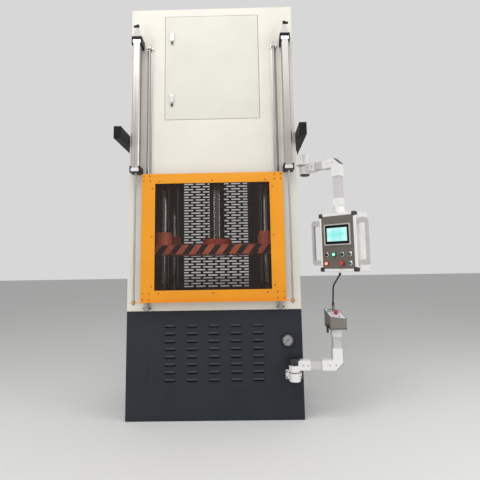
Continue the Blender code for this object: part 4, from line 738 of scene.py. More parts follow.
profile = np.array(profile_of("ram", np.zeros(3)))
shoulder = 2 + int(np.argmax(profile[2:, 0] < 0.6 * profile[:, 0].max()))
flange_radius, flange_top = profile[1, 0], profile[shoulder, 1]
flange = np.vstack([profile[:shoulder], [(0.0, flange_top)]])
rod = np.vstack([[(0.0, flange_top)], profile[shoulder:]])
make("ram_flange_turned", lathe(flange, 0.003, 72), "press_slide", flange_red, ["ram"])
make("ram_rod_turned", lathe(rod, 0.001, 72), "press_slide", ram_chrome, ["ram"])

FLANGE_BOLTS = 8
BOLT_CIRCLE = 0.78 * flange_radius
bolt = lathe([(0.0, 0.016), (0.004, 0.010), (0.0055, 0.010), (0.0055, 0.016), (0.009, 0.016),
              (0.009, 0.0), (0.0, 0.0)], 0.0008, 20)
bolt_places = [(BOLT_CIRCLE * math.cos(a), BOLT_CIRCLE * math.sin(a), flange_top)
               for a in np.arange(FLANGE_BOLTS) * 2 * np.pi / FLANGE_BOLTS]
repeated("ram_flange_bolts", bolt, bolt_places, UPRIGHT, "press_slide", black_coat)
print("turned pieces; ram flange up to", round(float(flange_top), 3))

# %% [markdown]
# ## The perforated rear guard
#
# The guard is punched with rows of slots, every second row shifted by half a pitch. A
# slot's ends are half circles. The sheet is built from the land between the slots: a
# bridge between neighbours, whose two sides follow the half circles, and a strip
# between rows. A Solidify modifier then gives the sheet its thickness.

# %% Rear guard
SLOT_LENGTH = 0.100
SLOT_HEIGHT = 0.014
PITCH_ACROSS, PITCH_UP = 0.126, 0.0285
SLOTS_ACROSS = 5
SLOT_ROWS = 39
FIELD_LEFT = -0.385
FIELD_LOW = 1.000
ARC_STEPS = 8


def slots_in(row):
    """Left and right ends of a row's slots; a half slot closes every row."""
    reach = SLOT_LENGTH / 2
    starts = [FIELD_LEFT + PITCH_ACROSS * step for step in range(SLOTS_ACROSS + 1)]
    if row % 2 == 0:
        return [(x, x + SLOT_LENGTH) for x in starts[:-1]] + [(starts[-1], starts[-1] + reach)]
    return [(FIELD_LEFT, FIELD_LEFT + reach)] + [(x - reach, x + reach) for x in starts[1:]]


def land_between_slots():
    """Bridges and strips of the sheet, as polygons in the plane x, z."""
    half = SLOT_HEIGHT / 2
    ends = (slots_in(0)[0][0] - half, slots_in(0)[-1][1] + half)
    turn = np.linspace(-np.pi / 2, np.pi / 2, ARC_STEPS + 1)
    arc = half * np.column_stack([np.cos(turn), np.sin(turn)])
    ladder, polygons = [guard_low.z], []
    below = [(x, guard_low.z) for x in ends]
    for row in range(SLOT_ROWS):
        z, slots = FIELD_LOW + row * PITCH_UP, slots_in(row)
        starts = [ends[0]] + [right - half for _, right in slots]
        stops = [left + half for left, _ in slots] + [ends[1]]
        for bridge, (start, stop) in enumerate(zip(starts, stops)):
            left_side = arc * (bridge > 0, 1) + (start, z)
            right_side = arc * (-(bridge < len(slots)), 1) + (stop, z)
            polygons.append([*right_side, *left_side[::-1]])
        across = sorted(starts + stops)
        polygons.append(below + [(x, z - half) for x in reversed(across)])
        below = [(x, z + half) for x in across]
        ladder += [z - half, z + half]
    polygons.append(below + [(x, guard_high.z) for x in reversed(ends)])
    ladder.append(guard_high.z)
    for side, x in zip((guard_low.x, guard_high.x), ends):
        polygons.append([(x, z) for z in ladder] + [(side, guard_high.z), (side, guard_low.z)])
    return polygons


polygons = land_between_slots()
land = [(x, guard_low.y, z) for polygon in polygons for x, z in polygon]
starts = np.cumsum([0] + [len(polygon) for polygon in polygons])
faces = [list(range(a, b)) for a, b in zip(starts, starts[1:])]
punched = make("rear_guard_punched", (np.array(land), faces), "frame", shaded_guard_coat, ["rear_guard"])
sheet = punched.modifiers.new("sheet", "SOLIDIFY")
sheet.thickness = guard_high.y - guard_low.y
sheet.offset = -1.0 if punched.data.polygons[0].normal.y < 0 else 1.0
print("rear guard:", SLOT_ROWS, "rows of", SLOTS_ACROSS, "slots and a half slot")

# %% [markdown]
# ## The slide's hazard stripes
#
# The platen is painted red, and its front edge is taped in slanted red and black
# bars. A bar is where the fraction of (x - lean * z) / pitch lies below one half.

# %% Platen
STRIPE_PITCH = 0.115
STRIPE_LEAN = 0.75
TAPE_DEPTH = 0.001       # how far behind the front face the tape's colour reaches


def tape(tree):
    """1 on the black bars of the platen's front edge."""
    place = axes_of(tree)
    lean = calc(tree, "MULTIPLY", place["Z"], STRIPE_LEAN)
    share = calc(tree, "DIVIDE", calc(tree, "SUBTRACT", place["X"], lean), STRIPE_PITCH)
    bars = calc(tree, "LESS_THAN", calc(tree, "FRACT", share), 0.5)
    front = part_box("slide_platen")[0].y + TAPE_DEPTH
    return calc(tree, "MULTIPLY", bars, inside(tree, Y_high=front))


platen_red = painted("platen paint", (0.98, 0.185, 0.100), shade=0.72, rough=(0.36, 0.5),
                     patch=6.0)
dress(overlaid(platen_red, tape, (0.010, 0.008, 0.008)), "slide_platen")
print("stripe pitch", STRIPE_PITCH, "m")

# %% [markdown]
# ## Small fasteners
#
# Sheet metal is held by button-head screws with a hexagon socket. One screw is turned
# once and repeated at its places, all in one piece for each body. Black strips round
# the louvred sheet are painted shade, the dark of the gap there.

# %% Screws and painted gap shade
FOOT_CLEAR = 1.2         # the door's plate alone lies above this height
DOOR_SCREW, PANEL_SCREW = 0.0068, 0.005
DOOR_SCREWS = ([(x, z) for x in (0.568, 0.517) for z in (1.957, 1.917, 0.997, 0.949)]
               + [(0.497, z) for z in (1.852, 1.454, 1.050)]
               + [(x, z) for x in (0.438, 0.0) for z in (1.912, 0.995)])
LOUVRE_SCREWS = [(x, z) for x in (0.488, 0.0) for z in (0.771, 0.277)]
# painted shade: the width of the black strips round the louvred sheet
GAP_SHADE_WIDTH = 0.006


def screw(radius, height=0.0028):
    """A button head with a socket: its profile runs from the socket's floor over the head."""
    socket = radius * 0.48
    return lathe([(0.0, height * 0.35), (socket, height * 0.35), (socket, height),
                  (radius * 0.72, height), (radius, height * 0.45), (radius, 0.0), (0.0, 0.0)],
                 radius * 0.12, 14, 2)


def mirrored(points):
    """Places on both sides of the middle plane, each once."""
    points = np.array(points, float)
    return np.unique(np.vstack([points, points * (-1, 1)]).round(5), axis=0)


def screws_on_front(name, places, depth, body, material, radius):
    """Screws at places (x, z) on a plane that faces the operator at y = depth."""
    return repeated(name, screw(radius), [(x, depth, z) for x, z in places], FORWARD, body,
                    material)


plate = corners_of("door_frame")
plate_front = plate[plate[:, 2] > FOOT_CLEAR, 1].min()
# the door screws take the frame's orange made darker: painted shade
shaded_orange_screw = painted("orange screw painted shade", (0.46, 0.17, 0.02), shade=0.7, rough=(0.22, 0.36))
screws_on_front("door_screws", mirrored(DOOR_SCREWS), plate_front, "guard_door", shaded_orange_screw,
                DOOR_SCREW)
screws_on_front("louvre_panel_screws", mirrored(LOUVRE_SCREWS), FRONT - SHEET, "frame",
                black_steel, PANEL_SCREW)
# black strips in the gap round the louvred sheet: painted shade
gap_shade_half = half_of("louvre_panel") + GAP_SHADE_WIDTH
gap_shade = four_strips(gap_shade_half[0], gap_shade_half[2], GAP_SHADE_WIDTH, -0.0003, 0.0005)
gap_shade_place = (0.0, FRONT, middle_of("louvre_panel")[2])
make("louvre_panel_gap_shade", moved(gap_shade, gap_shade_place, FORWARD), "frame", black_steel)
print("screws set; door plate at", round(float(plate_front), 4))

# %% [markdown]
# ## The pressure gauge
#
# A liquid-filled gauge: a stepped bezel, a pale dial with a scale of 270 degrees of
# fine and heavy marks, a tapered pointer and a slightly domed glass.

# %% Gauge
RIM = 0.006
DIAL_DEPTH = 0.010       # from the bezel's front down to the dial
NECK_IN = 0.008          # the case behind the base's sheet is narrower by this
MARKS = 31
SCALE_START, SCALE_SWEEP = math.radians(225.0), math.radians(270.0)
LENS_RISE = 0.0006
gauge_low, gauge_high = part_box("gauge_case")
gauge_radius = half_of("gauge_case")[0]
gauge_centre = middle_of("gauge_case")
gauge_centre[1] = FRONT
gauge_proud, gauge_depth = FRONT - gauge_low.y, gauge_high.y - FRONT
dial_level = gauge_proud - DIAL_DEPTH
dial_place = gauge_centre + FORWARD[2] * dial_level
dial_radius = gauge_radius - RIM - 0.0025

neck, lip = gauge_radius - NECK_IN, gauge_radius - RIM
case = [(0.0, -gauge_depth), (neck, -gauge_depth), (neck, 0.0003), (gauge_radius, 0.0003),
        (gauge_radius, gauge_proud - 0.004), (gauge_radius - 0.003, gauge_proud),
        (lip, gauge_proud), (lip - 0.002, gauge_proud - 0.0045), (lip - 0.002, dial_level),
        (0.0, dial_level)]
bezel_metal = metal("gauge bezel", (0.070, 0.070, 0.074), rough=(0.14, 0.24), depth=0.00001)
make("gauge_case_turned", lathe(case, 0.0012, 72, 3, gauge_centre, FORWARD), "frame", bezel_metal,
     ["gauge_case"])
dial_paint = painted("gauge dial", (0.36, 0.355, 0.37), shade=0.93, rough=(0.5, 0.6))
dial = [(0.0, 0.0), (dial_radius, 0.0), (dial_radius, 0.0002), (0.0, 0.0002)]
make("gauge_dial", lathe(dial, 0.0001, 64, 3, dial_place, FORWARD), "frame", dial_paint)


def scale_marks():
    """Radial bars from 225 degrees clockwise over 270; every fifth is long and heavy."""
    bars = []
    for index in range(MARKS):
        heavy = index % 5 == 0
        angle = SCALE_START - SCALE_SWEEP * index / (MARKS - 1)
        along = np.array([math.cos(angle), math.sin(angle)])
        across = np.array([-along[1], along[0]]) * (0.0022 if heavy else 0.0012)
        inner, outer = along * dial_radius * (0.66 if heavy else 0.76), along * dial_radius * 0.93
        bars.append(slab([inner - across, outer - across, outer + across, inner + across],
                         0.00025, 0.0004))
    return joined(bars)


make("gauge_scale", moved(scale_marks(), dial_place, FORWARD), "frame", black_steel)
glass_low, glass_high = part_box("gauge_glass")
glass_radius = half_of("gauge_glass")[0]
lens_foot, lens_edge = FRONT - glass_high.y, FRONT - glass_low.y - LENS_RISE
lens_profile = [(0.0, lens_foot), (glass_radius, lens_foot), (glass_radius, lens_edge),
                *dome(glass_radius, lens_edge, LENS_RISE, 0.2, 6)]
make("gauge_lens", moved(turned(lens_profile, 64), gauge_centre, FORWARD), "frame", glass,
     ["gauge_glass"])
# a black ring at the dial's edge is painted shadow under the bezel's inner step
bezel_shadow_ring = band(dial_radius * 0.94, dial_radius, 0.0002, 0.0012)
make("gauge_bezel_shadow_ring", lathe(bezel_shadow_ring, 0.0001, 64, 2, dial_place, FORWARD), "frame",
     black_steel)

needle = (corners_of("gauge_needle") - gauge_centre)[:, [0, 2]]
tip = needle[np.argmax(np.linalg.norm(needle, axis=1))]
reach = np.hypot(*tip)
across = np.array([-tip[1], tip[0]]) / reach
tail = -tip * 0.35
pointer = [tip - across * 0.0006, tip + across * 0.0006, across * 0.0032, tail + across * 0.0040,
           tail - across * 0.0040, -across * 0.0032]
hub = lathe([(0.0, 0.0), (0.0050, 0.0), (0.0050, 0.0012), (0.0, 0.0016)], 0.0003, 24, 2)
pointer_place = np.array([gauge_centre[0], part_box("gauge_needle")[1].y, gauge_centre[2]])
make("gauge_pointer", moved(joined([slab(pointer[::-1], 0.0, 0.0009), hub]), pointer_place,
                            FORWARD), body_of("gauge_needle"), black_plastic, ["gauge_needle"])
print("gauge scale marks", MARKS, "pointer reach", round(float(reach), 4))

# %% [markdown]
# ## The operator panel
#
# The panel hangs turned towards the operator. Its face gives the axes for everything
# on it: a pale bezel round a black glass border, a lit display with soft tiles, turned
# control heads with silver collars, and a black cap with a screw on each corner.

# %% Panel screen
DISPLAY_HALF = np.array([0.087, 0.053])
BORDER_HALF = (0.1030, 0.0745)
BEZEL_FOOT = 0.0004      # the bezel stands this far over the face plate
panel_out = -np.array(joint("name", "start_button_push")["axis"], float)
face_middle, face_half_w, face_half_h, PANEL = seat_on("panel_face", panel_out)
screen_middle, screen_half_w, screen_half_h, _ = seat_on("touch_screen", panel_out)
proud = (screen_middle - face_middle) @ PANEL[2] - BEZEL_FOOT
screen_back = screen_middle - PANEL[2] * proud
bezel_grey = painted("screen bezel", (0.52, 0.50, 0.47), shade=0.9, rough=(0.34, 0.46))
border_black = painted("screen border glass", (0.004, 0.004, 0.005), shade=1.2,
                       rough=(0.08, 0.14), grain=60.0, depth=0.00001, specular=0.06)
bezel = slab(oblong(screen_half_w, screen_half_h, 0.006), 0.0, proud)
make("screen_bezel", moved(bezel, screen_back, PANEL), "operator_panel", bezel_grey,
     ["touch_screen"], soft=0.0015)
border = slab(oblong(*BORDER_HALF, 0.003), proud, proud + 0.0006)
make("screen_border", moved(border, screen_back, PANEL), "operator_panel", border_black)


def display_glow():
    """A lit display: cyan in the middle, whiter at the edges, with two rows of pale tiles."""
    material, tree, shader = new_material("lit display")
    place = axes_of(tree, "UV")
    rows = [ranged(tree, calc(tree, "PINGPONG", calc(tree, "MULTIPLY", place[axis], count), 0.5),
                   0.0, 1.0, 0.10, 0.14) for axis, count in (("X", 3.0), ("Y", 2.0))]
    away = node(tree, "VectorMath", node(tree, "TexCoord").outputs["UV"], (0.5, 0.5, 0.0),
                operation="DISTANCE").outputs["Value"]
    ground = mix(tree, ranged(tree, away, 0.0, 1.0, 0.22, 0.68), (0.20, 0.84, 0.80),
                 (0.62, 1.0, 0.96))
    faint = ranged(tree, calc(tree, "MULTIPLY", *rows), 0.0, 0.22)
    wire(tree, shader, Emission_Color=mix(tree, faint, ground, (0.86, 1.0, 1.0)),
         Emission_Strength=0.95, Base_Color=(0.01, 0.02, 0.02), Roughness=0.2)
    return material


def display_sheet(columns=12, rows=8):
    """A grid in the display's plane, with its own map from 0 to 1."""
    across, upright = np.meshgrid(np.linspace(-1, 1, columns + 1), np.linspace(-1, 1, rows + 1))
    points = np.column_stack([across.ravel() * DISPLAY_HALF[0], upright.ravel() * DISPLAY_HALF[1],
                              np.full(across.size, proud + 0.0010)])
    row, column = np.indices((rows, columns))
    start = row * (columns + 1) + column
    faces = np.stack([start, start + 1, start + columns + 2, start + columns + 1], -1)
    shape = moved((points, faces.reshape(-1, 4).tolist()), screen_back, PANEL)
    piece = make("screen_display", shape, "operator_panel", display_glow())
    mesh = piece.data
    local = (np.array([v.co for v in mesh.vertices]) - screen_back) @ PANEL.T
    corner = np.array([loop.vertex_index for loop in mesh.loops])
    flat = local[corner, :2] / (2 * DISPLAY_HALF) + 0.5
    mesh.uv_layers.new(name="display").data.foreach_set("uv", flat.ravel())
    piece.modifiers.new("thickness", "SOLIDIFY").thickness = 0.0004


display_sheet()
print("screen half", round(screen_half_w, 4), round(screen_half_h, 4), "display", DISPLAY_HALF)

# %% Control heads
FLANGE = 0.0042          # how far a head's seat ring stands out round it
HEAD_STEPS = 36


def lit(name, colour, strength, base):
    """A lamp cap: coloured plastic that glows."""
    material = painted(name, base, shade=0.9, rough=(0.18, 0.28))
    tree = material.node_tree
    wire(tree, tree.nodes["Principled BSDF"], Emission_Color=colour, Emission_Strength=strength)
    return material


def head_seat(name):
    """A control's head: its top on its axis, its axes and its radius."""
    out = -np.array(joint("child", name)["axis"], float)
    axes = axes_for(out if out @ PANEL[2] >= 0 else -out)
    local = corners_of(name) @ axes.T
    low, high = local.min(axis=0), local.max(axis=0)
    return np.array([*(low + high)[:2] / 2, high[2]]) @ axes, axes, (high - low)[0] / 2


def push_button(name, material, rim):
    """A collar with a bevelled lip and a shallow domed cap inside it."""
    top, axes, radius = head_seat(name)
    foot, inner, outer, cap_radius = -0.0145, radius - 0.003, radius + FLANGE, radius - 0.0034
    collar = [(inner, foot), (outer, foot), (outer, -0.0120), (radius + 0.0006, -0.0105),
              (radius, -0.0085), (radius - 0.0015, -0.0068), (radius - 0.0024, -0.0068),
              (inner, -0.0085), (inner, foot)]
    cap = [(0.0, foot), (cap_radius, foot), (cap_radius, -0.0022),
           *dome(cap_radius, -0.0022, 0.0020, 0.25, 6)]
    body = body_of(name)
    make(name + "_cap", lathe(cap, 0.0004, HEAD_STEPS, 2, top, axes), body, material, [name])
    make(name + "_collar", lathe(collar, 0.0003, HEAD_STEPS, 2, top, axes), body, rim)


def mushroom(name, material):
    """A stem skirt and a wide domed head with a rolled edge."""
    top, axes, radius = head_seat(name)
    head = [(0.0, -0.030), (0.0140, -0.030), (0.0140, -0.0175), (radius - 0.001, -0.0125),
            (radius, -0.0100), (radius, -0.0065), *dome(radius, -0.0065, 0.0063, 0.15, 9)]
    make(name + "_head", lathe(head, 0.0008, 40, 3, top, axes), body_of(name), material, [name])


def selector(name):
    """A collared dial with a raised grip that has round ends and a pale index line."""
    top, axes, radius = head_seat(name)
    foot, inner, outer = -0.020, radius - 0.001, radius + FLANGE
    collar = [(0.0, foot), (radius, foot), (radius, -0.0130), (radius - 0.002, -0.0112),
              (0.0, -0.0112)]
    ring = [(inner, foot), (outer, foot), (outer, -0.0175), (inner, -0.0160), (inner, foot)]
    grip = slab(oblong(0.0045, 0.0135, 0.0043, 5), -0.0125, -0.0002)
    index = slab(oblong(0.0007, 0.0060, 0.0005, 2, (0.0, 0.0065)), -0.0003, 0.0)
    body = body_of(name)
    make(name + "_seat", lathe(ring, 0.0003, HEAD_STEPS, 2, top, axes), "operator_panel", silver)
    make(name + "_dial", moved(joined([lathe(collar, 0.0004, HEAD_STEPS, 2), grip]), top, axes),
         body, black_plastic, [name], soft=0.0008)
    make(name + "_index", moved(index, top, axes), body, silver)


for name in ("mode_selector", "motion_selector"):
    selector(name)
push_button("start_button", lit("lit green cap", (0.30, 1.0, 0.66), 1.15, (0.20, 0.62, 0.40)),
            green_plastic)
push_button("stop_button", lit("lit red cap", (1.0, 0.46, 0.34), 1.00, (0.80, 0.10, 0.06)),
            red_plastic)
for name in ("raise_button", "lower_button"):
    push_button(name, green_plastic, silver)
for name in ("cycle_button_left", "cycle_button_right"):
    push_button(name, black_plastic, silver)
mushroom("panel_emergency_stop",
         painted("mushroom red", (0.50, 0.055, 0.040), shade=0.85, rough=(0.28, 0.42)))
mushroom("console_emergency_stop", red_plastic)
print("control heads turned")

# %% Panel trim
CORNER_HALF = 0.0175
CORNER_PROUD = 0.0015    # how far a corner cap stands over the case
EDGE_STRIP, TRIM_STRIP = 0.021, 0.022
corner_across = face_half_w + EDGE_STRIP - CORNER_HALF + CORNER_PROUD
corner_up = face_half_h + TRIM_STRIP - CORNER_HALF + CORNER_PROUD
corner_cap = joined([slab(oblong(CORNER_HALF, CORNER_HALF, 0.009, 5), -0.030, 0.0022),
                     moved(screw(0.0045, 0.0022), (0.0, 0.0, 0.0021))])
corner_places = [face_middle + PANEL[0] * side * corner_across + PANEL[1] * rise * corner_up
                 for side in (-1, 1) for rise in (-1, 1)]
repeated("panel_corner_caps", corner_cap, corner_places, PANEL, "operator_panel", black_plastic,
         soft=0.0016)
print("corner caps", len(corner_places))

# %% [markdown]
# ## Pendant arms
#
# The arms are square tubes in cast sleeves. Each elbow is closed on its slanted cut by
# a black plate, each joint by a black cap, and a dark seal shows between the turning
# and the fixed half. The sleeves are clamped with set screws.

# %% Arm caps, seals and set screws
SLEEVE_HALF = 0.037
JOINT_RADIUS = 0.044
DEEP_CAP = 0.042         # the lower arm's cap reaches down over the joint
CUT_SHARE = (0.96, 0.98)  # an elbow's plate is a little smaller than its cut
EAR_FRONT, EAR_INSET = 0.0117, 0.008
EAR_BOLTS = (0.326, 0.368)
SET_SCREWS = {"upper_arm": (0.050, 0.095, 0.235, 0.285), "lower_arm": (0.060, 0.100, 0.265, 0.315)}
arm_level = {"upper_arm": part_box("upper_arm")[1].z - SLEEVE_HALF, "lower_arm": 0.435}
arm_end = {"upper_arm": joint_at("panel_swivel"), "lower_arm": joint_at("console_swivel")}
pivot = {arm: joint_at(arm + "_swing") for arm in arm_end}
arm_way = {arm: (arm_end[arm] - pivot[arm]) * FLAT for arm in arm_end}
arm_way = {arm: way / np.linalg.norm(way) for arm, way in arm_way.items()}

for arm, rise in (("upper_arm", UP), ("lower_arm", -UP)):
    middle, half_w, half_h, axes = seat_on(arm, arm_way[arm] + rise)
    cut = oblong(half_w * CUT_SHARE[0], half_h * CUT_SHARE[1], 0.006, 4)
    make(arm + "_elbow_plate", moved(slab(cut, -0.0005, 0.0040), middle, axes), arm,
         black_plastic, soft=0.0008)


def joint_cap(name, radius, centre, level, height, body, out):
    """A domed cap on the end of a joint, facing out."""
    rim = min(height * 0.5, 0.004)
    profile = [(0.0, -0.001), (radius, -0.001), (radius, height - rim), (radius * 0.93, height),
               (0.0, height + 0.0015)]
    cap = lathe(profile, 0.0012, 48, 3, (*centre[:2], level), axes_for(out))
    return make(name, cap, body, black_plastic)


def at_joint(arm):
    """The corners of an arm that lie over or under its pivot."""
    corners = corners_of(arm)
    return corners[np.linalg.norm((corners - pivot[arm])[:, :2], axis=1) < JOINT_RADIUS]


def seal_ring(name, centre, level, body):
    """A round rubber seal between the two halves of a joint."""
    ring = band(JOINT_RADIUS - 0.004, JOINT_RADIUS + 0.0012, -0.003, 0.003)
    return make(name, lathe(ring, 0.001, 56, 3, (*centre[:2], level)), body, rubber)


mount_low, mount_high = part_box("lower_arm_mount")
lower_mount, upper_mount = body_of("lower_arm_mount"), body_of("upper_arm_mount")
joint_cap("lower_joint_cap", JOINT_RADIUS + 0.0008, pivot["lower_arm"],
          at_joint("lower_arm")[:, 2].max() - DEEP_CAP, DEEP_CAP + 0.006, "lower_arm", UP)
joint_cap("upper_joint_cap", 0.041, pivot["upper_arm"], at_joint("upper_arm")[:, 2].min(), 0.010,
          "upper_arm", -UP)
joint_cap("lower_mount_foot", 0.042, pivot["lower_arm"], mount_low.z, 0.006, lower_mount, -UP)
seal_ring("lower_joint_seal", pivot["lower_arm"], mount_high.z, lower_mount)
seal_ring("upper_joint_seal", pivot["upper_arm"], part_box("upper_arm_mount")[0].z, upper_mount)
for arm, places in SET_SCREWS.items():
    across = np.cross(UP, arm_way[arm])
    side = pivot[arm] * FLAT + UP * arm_level[arm] - across * SLEEVE_HALF
    repeated(arm + "_set_screws", screw(0.0042, 0.0022),
             [side + arm_way[arm] * along for along in places], axes_for(-across), arm,
             black_steel)
ears = [(x, mount_high.y - EAR_FRONT, z)
        for x in (mount_low.x + EAR_INSET, mount_high.x - EAR_INSET) for z in EAR_BOLTS]
repeated("lower_mount_bolts", screw(0.0060, 0.0040), ears, FORWARD, lower_mount, black_steel)
print("arm trim set; levels", arm_level)

# %% [markdown]
# ## The two-hand console
#
# The lid is coloured paler than the box, a painted highlight for the light that falls
# on it, and the box darker, a painted shade, though both are one paint; the lid slants
# towards the operator. A dark gasket runs round it, with a screw near each corner and
# a round lock.

# %% Console lid
LID_LOWEST = 0.06        # the whole lid lies this far above the foot, and no gland does
LID_SCREW_INSET = 0.009
GASKET = 0.0035
lid_out = np.array(joint("child", "console_emergency_stop")["axis"], float)
LID = axes_for(lid_out * np.sign(lid_out[2]))
console_axis = joint_at("console_swivel")
shell = corners_of("console")
shell = shell[shell[:, 2] > console_axis[2] + LID_LOWEST]
lid_low, lid_high = shell.min(axis=0), shell.max(axis=0)
lid_half_w, lid_half_h = (lid_high - lid_low)[:2] / 2
lid_plan = (lid_low + lid_high) / 2 * FLAT
slope = -LID[2][:2] / LID[2][2]
slanted = [face for face in nodes["console"].data.polygons
           if np.dot(face.normal, LID[2]) > 0.999]
widest = max(slanted, key=lambda face: face.area)
lid_height = np.dot(widest.center, LID[2]) / LID[2][2]


def on_lid(points):
    """Points in plan from the lid's middle, carried up: z grows by the slope times x and y."""
    points = np.array(points, float) + lid_plan
    points[:, 2] += lid_height + slope[0] * points[:, 0] + slope[1] * points[:, 1]
    return points


gasket, faces = four_strips(lid_half_w, lid_half_h, GASKET, -0.0004, 0.0006)
make("console_gasket", (on_lid(gasket), faces), "console", rubber)
lid_screws = on_lid([(side * (lid_half_w - LID_SCREW_INSET), rise * (lid_half_h - LID_SCREW_INSET),
                      0.0) for side in (-1, 1) for rise in (-1, 1)])
repeated("console_lid_screws", screw(0.0036, 0.0020), lid_screws, LID, "console", zinc)
lock = [(0.0, 0.0), (0.0065, 0.0), (0.0065, 0.0020), (0.0045, 0.0045), (0.0, 0.0055)]
lock_place = on_lid([(0.016, -lid_half_h * 0.62, 0.0)])[0]
make("console_lock", lathe(lock, 0.0008, 24, 3, lock_place, LID), "console", black_steel)
foot = slab(oblong(lid_half_w + 0.0012, lid_half_h + 0.0012, 0.003), console_axis[2] + 0.0005,
            console_axis[2] + 0.0060)
make("console_foot_seal", moved(foot, lid_plan), "console", rubber, soft=0.001)
print("console lid", round(float(lid_half_w), 4), round(float(lid_half_h), 4), "slope", slope)

# %% [markdown]
# ## The panel cable
#
# The cable drops out of the gland under the panel and runs in one easy bow to its plug
# on the console. Its curve is a Catmull-Rom spline through the route's own points, with
# straight ends, and it carries a tapered strain relief and the plug.

# %% Cable, strain relief and plug
CABLE_DIAMETER = 0.0125
CABLE_STRAIGHT = 0.010
PER_SPAN = 5
RIBS, RIB_FOOT, RIB_PITCH = 4, 0.006, 0.0035


def smooth_route(points, per_span):
    """A Catmull-Rom curve through the points, straight along its first and last span."""
    ends = [points[0]] + points + [points[-1]]
    route = []
    for span, corners in enumerate(zip(ends, ends[1:], ends[2:], ends[3:])):
        a, b, c, d = (Vector(corner) for corner in corners)
        steps = 1 if span in (0, len(points) - 2) else per_span
        for step in range(steps):
            t = step / steps
            route.append(b + 0.5 * t * ((c - a) + t * ((2 * a - 5 * b + 4 * c - d)
                                                       + t * (3 * (b - c) + d - a))))
    return route + [Vector(points[-1])]


end, start = (corner.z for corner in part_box("panel_cable"))
plug_x, plug_y, plug_z = middle_of("cable_plug")
plug_radius, _, plug_rise = half_of("cable_plug")
cable_ring = corners_of("panel_cable")
top_ring = cable_ring[cable_ring[:, 2] > start - 0.0005]
gland_x, gland_y = (top_ring.min(axis=0) + top_ring.max(axis=0))[:2] / 2
CABLE_ROUTE = [(gland_x, gland_y, start), (gland_x, gland_y, start - CABLE_STRAIGHT),
               (0.986, FRONT - 0.104, 1.087), (0.962, FRONT - 0.078, 1.038),
               (0.964, FRONT - 0.040, 0.988), (0.968, FRONT - 0.010, 0.945),
               (plug_x, plug_y, end + CABLE_STRAIGHT), (plug_x, plug_y, end)]
points = smooth_route(CABLE_ROUTE, PER_SPAN)
curve = bpy.data.curves.new("panel_cable_run", "CURVE")
curve.dimensions = "3D"
curve.bevel_depth = CABLE_DIAMETER / 2
curve.bevel_resolution = 5
curve.use_fill_caps = True
line = curve.splines.new("POLY")
line.points.add(len(points) - 1)
for point, at in zip(line.points, points):
    point.co = (*at, 1.0)
line.use_smooth = True
cable = linked("panel_cable_run", curve)
curve.materials.append(rubber)

boot = [(0.0063, 0.0), (0.0098, 0.0), (0.0098, -0.004), (0.0086, -0.006), (0.0086, -0.008),
        (0.0090, -0.009), (0.0080, -0.014), (0.0084, -0.015), (0.0074, -0.022),
        (0.0063, -0.022), (0.0063, 0.0)]
boot_piece = make("cable_strain_relief", lathe(boot, 0.0005, 32, 2, (gland_x, gland_y, start)),
                  body_of("panel_cable"), rubber)
ribs = [(0.0, 0.0), (plug_radius, 0.0), (plug_radius, 0.004)]
for z in RIB_FOOT + RIB_PITCH * np.arange(RIBS):
    ribs += [(plug_radius - 0.0012, z), (plug_radius, z + 0.0010), (plug_radius, z + 0.0022)]
ribs += [(plug_radius * 0.78, plug_rise * 1.6), (CABLE_DIAMETER * 0.60, plug_rise * 2),
         (0.0, plug_rise * 2)]
plug_foot = (plug_x, plug_y, plug_z - plug_rise)
plug_piece = make("cable_plug_turned", lathe(ribs, 0.0004, 36, 2, plug_foot),
                  body_of("cable_plug"), black_plastic, ["cable_plug"])
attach(cable, body_of("panel_cable"))
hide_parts("panel_cable")

# %% [markdown]
# ## Guide rails
#
# Each rail is held at both ends by a plate with two ears and a screw in each ear, and
# a pin stands over its top end.

# %% Rail ends
END_THICK, END_LEVEL = 0.010, 0.014
EAR_SCREW, EAR_OUT, PIN_RISE = 0.0062, 0.0265, 0.022
rail_low, rail_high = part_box("guide_rail_right")
rail_x = middle_of("guide_rail_right")[0]
rail_ends = [(side * rail_x, rail_high.y, z) for side in (-1, 1)
             for z in (rail_low.z + END_LEVEL, rail_high.z - END_LEVEL)]
repeated("rail_end_plates", slab(oblong(0.033, 0.0105, 0.003), 0.0, END_THICK), rail_ends, FORWARD,
         "frame", silver, soft=0.001)
screws_on_front("rail_end_screws", [(x + side * EAR_OUT, z) for x, _, z in rail_ends
                                    for side in (-1, 1)],
                rail_high.y - END_THICK, "frame", black_steel, EAR_SCREW)
screws_on_front("rail_top_pins", mirrored([(rail_x, rail_high.z + PIN_RISE)]), rail_high.y,
                "frame", black_steel, DOOR_SCREW)
print("rail ends at", round(rail_x, 4))

# %% [markdown]
# ## Soft edges
#
# No real sheet or casting has a knife edge. The flat-faced solids are copied, their
# triangles joined into whole faces, and a Bevel modifier rounds the edges by a
# millimetre or two, so that each edge catches a fine line of light.

# %% Rounded copies
SOFT_EDGES = {
    0.0012: "door_frame",
    0.0015: "base_cabinet",
    0.0025: "press_bed",
    0.0020: "side_bar_left side_bar_right",
    0.0018: "upper_arm lower_arm upper_arm_mount lower_arm_mount panel_case",
    0.0010: "console air_bracket_low_left air_bracket_low_right air_bracket_top_left "
            "air_bracket_top_right"}


def soften(name, width):
    """Replace a flat-faced CAD node by itself with whole faces and rounded edges."""
    mesh = nodes[name].data.copy()
    mesh.name = name + "_soft"
    work = bmesh.new()
    work.from_mesh(mesh)
    bmesh.ops.remove_doubles(work, verts=work.verts[:], dist=2e-5)
    bmesh.ops.dissolve_limit(work, angle_limit=math.radians(0.5), verts=work.verts[:],
                             edges=work.edges[:])
    work.to_mesh(mesh)
    work.free()
    return make(mesh.name, mesh, body_of(name), mesh.materials[0], [name], 30.0, width)


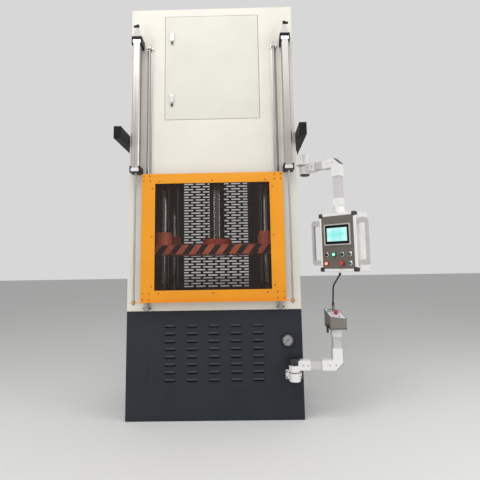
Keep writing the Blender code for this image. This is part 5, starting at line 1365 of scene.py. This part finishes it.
softened = {name: soften(name, width) for width, names in SOFT_EDGES.items()
            for name in names.split()}
print("softened", len(softened))

# %% [markdown]
# Some solids carry two coats. On the arms the drawn tubes are greyer than the cast
# sleeves: a tube's sides lie half a tube away from its axis. The panel's grips, the
# console's lid, whose paler colour is a painted highlight, and its gland are found by
# their place.

# %% Tubes, grips, lid and gland
TUBE_HALF = 0.030
WITHIN = 0.0006          # how far off a face's place may be
GRIP_OUT = 0.004         # the grips lie this far outside the panel's edge strip
ABOVE_FOOT = 0.05        # the slanted lid lies this far above the console's foot


def faces_of(piece):
    """Middles and normals of a piece's faces."""
    flat = np.empty((2, len(piece.data.polygons) * 3))
    piece.data.polygons.foreach_get("center", flat[0])
    piece.data.polygons.foreach_get("normal", flat[1])
    return flat.reshape(2, -1, 3)


def second_finish(name, chosen, material):
    """Give the chosen faces, a mask over a softened piece's faces, another finish."""
    mesh = softened[name].data
    mesh.materials.append(material)
    index = np.zeros(len(chosen), np.int32)
    mesh.polygons.foreach_get("material_index", index)
    index[chosen] = len(mesh.materials) - 1
    mesh.polygons.foreach_set("material_index", index)
    mesh.update()
    print(name, "faces of", material.name, int(np.sum(chosen)))


tube_coat = painted("drawn tube coat", (0.63, 0.60, 0.61), shade=0.93, rough=(0.26, 0.38))
grip_coat = painted("cast grip coat", (0.56, 0.54, 0.53), shade=0.86, rough=(0.34, 0.46))
# the console lid's paler colour is a painted highlight
lid_painted_highlight = painted("lid painted highlight", (0.78, 0.75, 0.80), shade=0.86, rough=(0.26, 0.40), patch=14.0)
for arm, way in arm_way.items():
    middles, normals = faces_of(softened[arm])
    axis_point = pivot[arm] * FLAT + UP * arm_level[arm]
    offset = np.abs(((middles - axis_point) * normals).sum(axis=1))
    flat = (np.abs(normals @ way) < 0.1) & (np.abs(offset - TUBE_HALF) < WITHIN)
    offset = np.abs(((middles - arm_end[arm]) * FLAT * normals).sum(axis=1))
    upright = (np.abs(normals[:, 2]) < 0.1) & (np.abs(offset - TUBE_HALF) < WITHIN)
    second_finish(arm, flat | upright, tube_coat)
middles, _ = faces_of(softened["panel_case"])
beside = np.abs((middles - face_middle) @ PANEL[0]) > face_half_w + EDGE_STRIP + GRIP_OUT
second_finish("panel_case", beside, grip_coat)
middles, normals = faces_of(softened["console"])
on_top = (normals @ LID[2] > 0.999) & (middles[:, 2] > console_axis[2] + ABOVE_FOOT)
second_finish("console", on_top, lid_painted_highlight)
second_finish("console", middles[:, 0] < lid_low[0] - WITHIN, black_plastic)
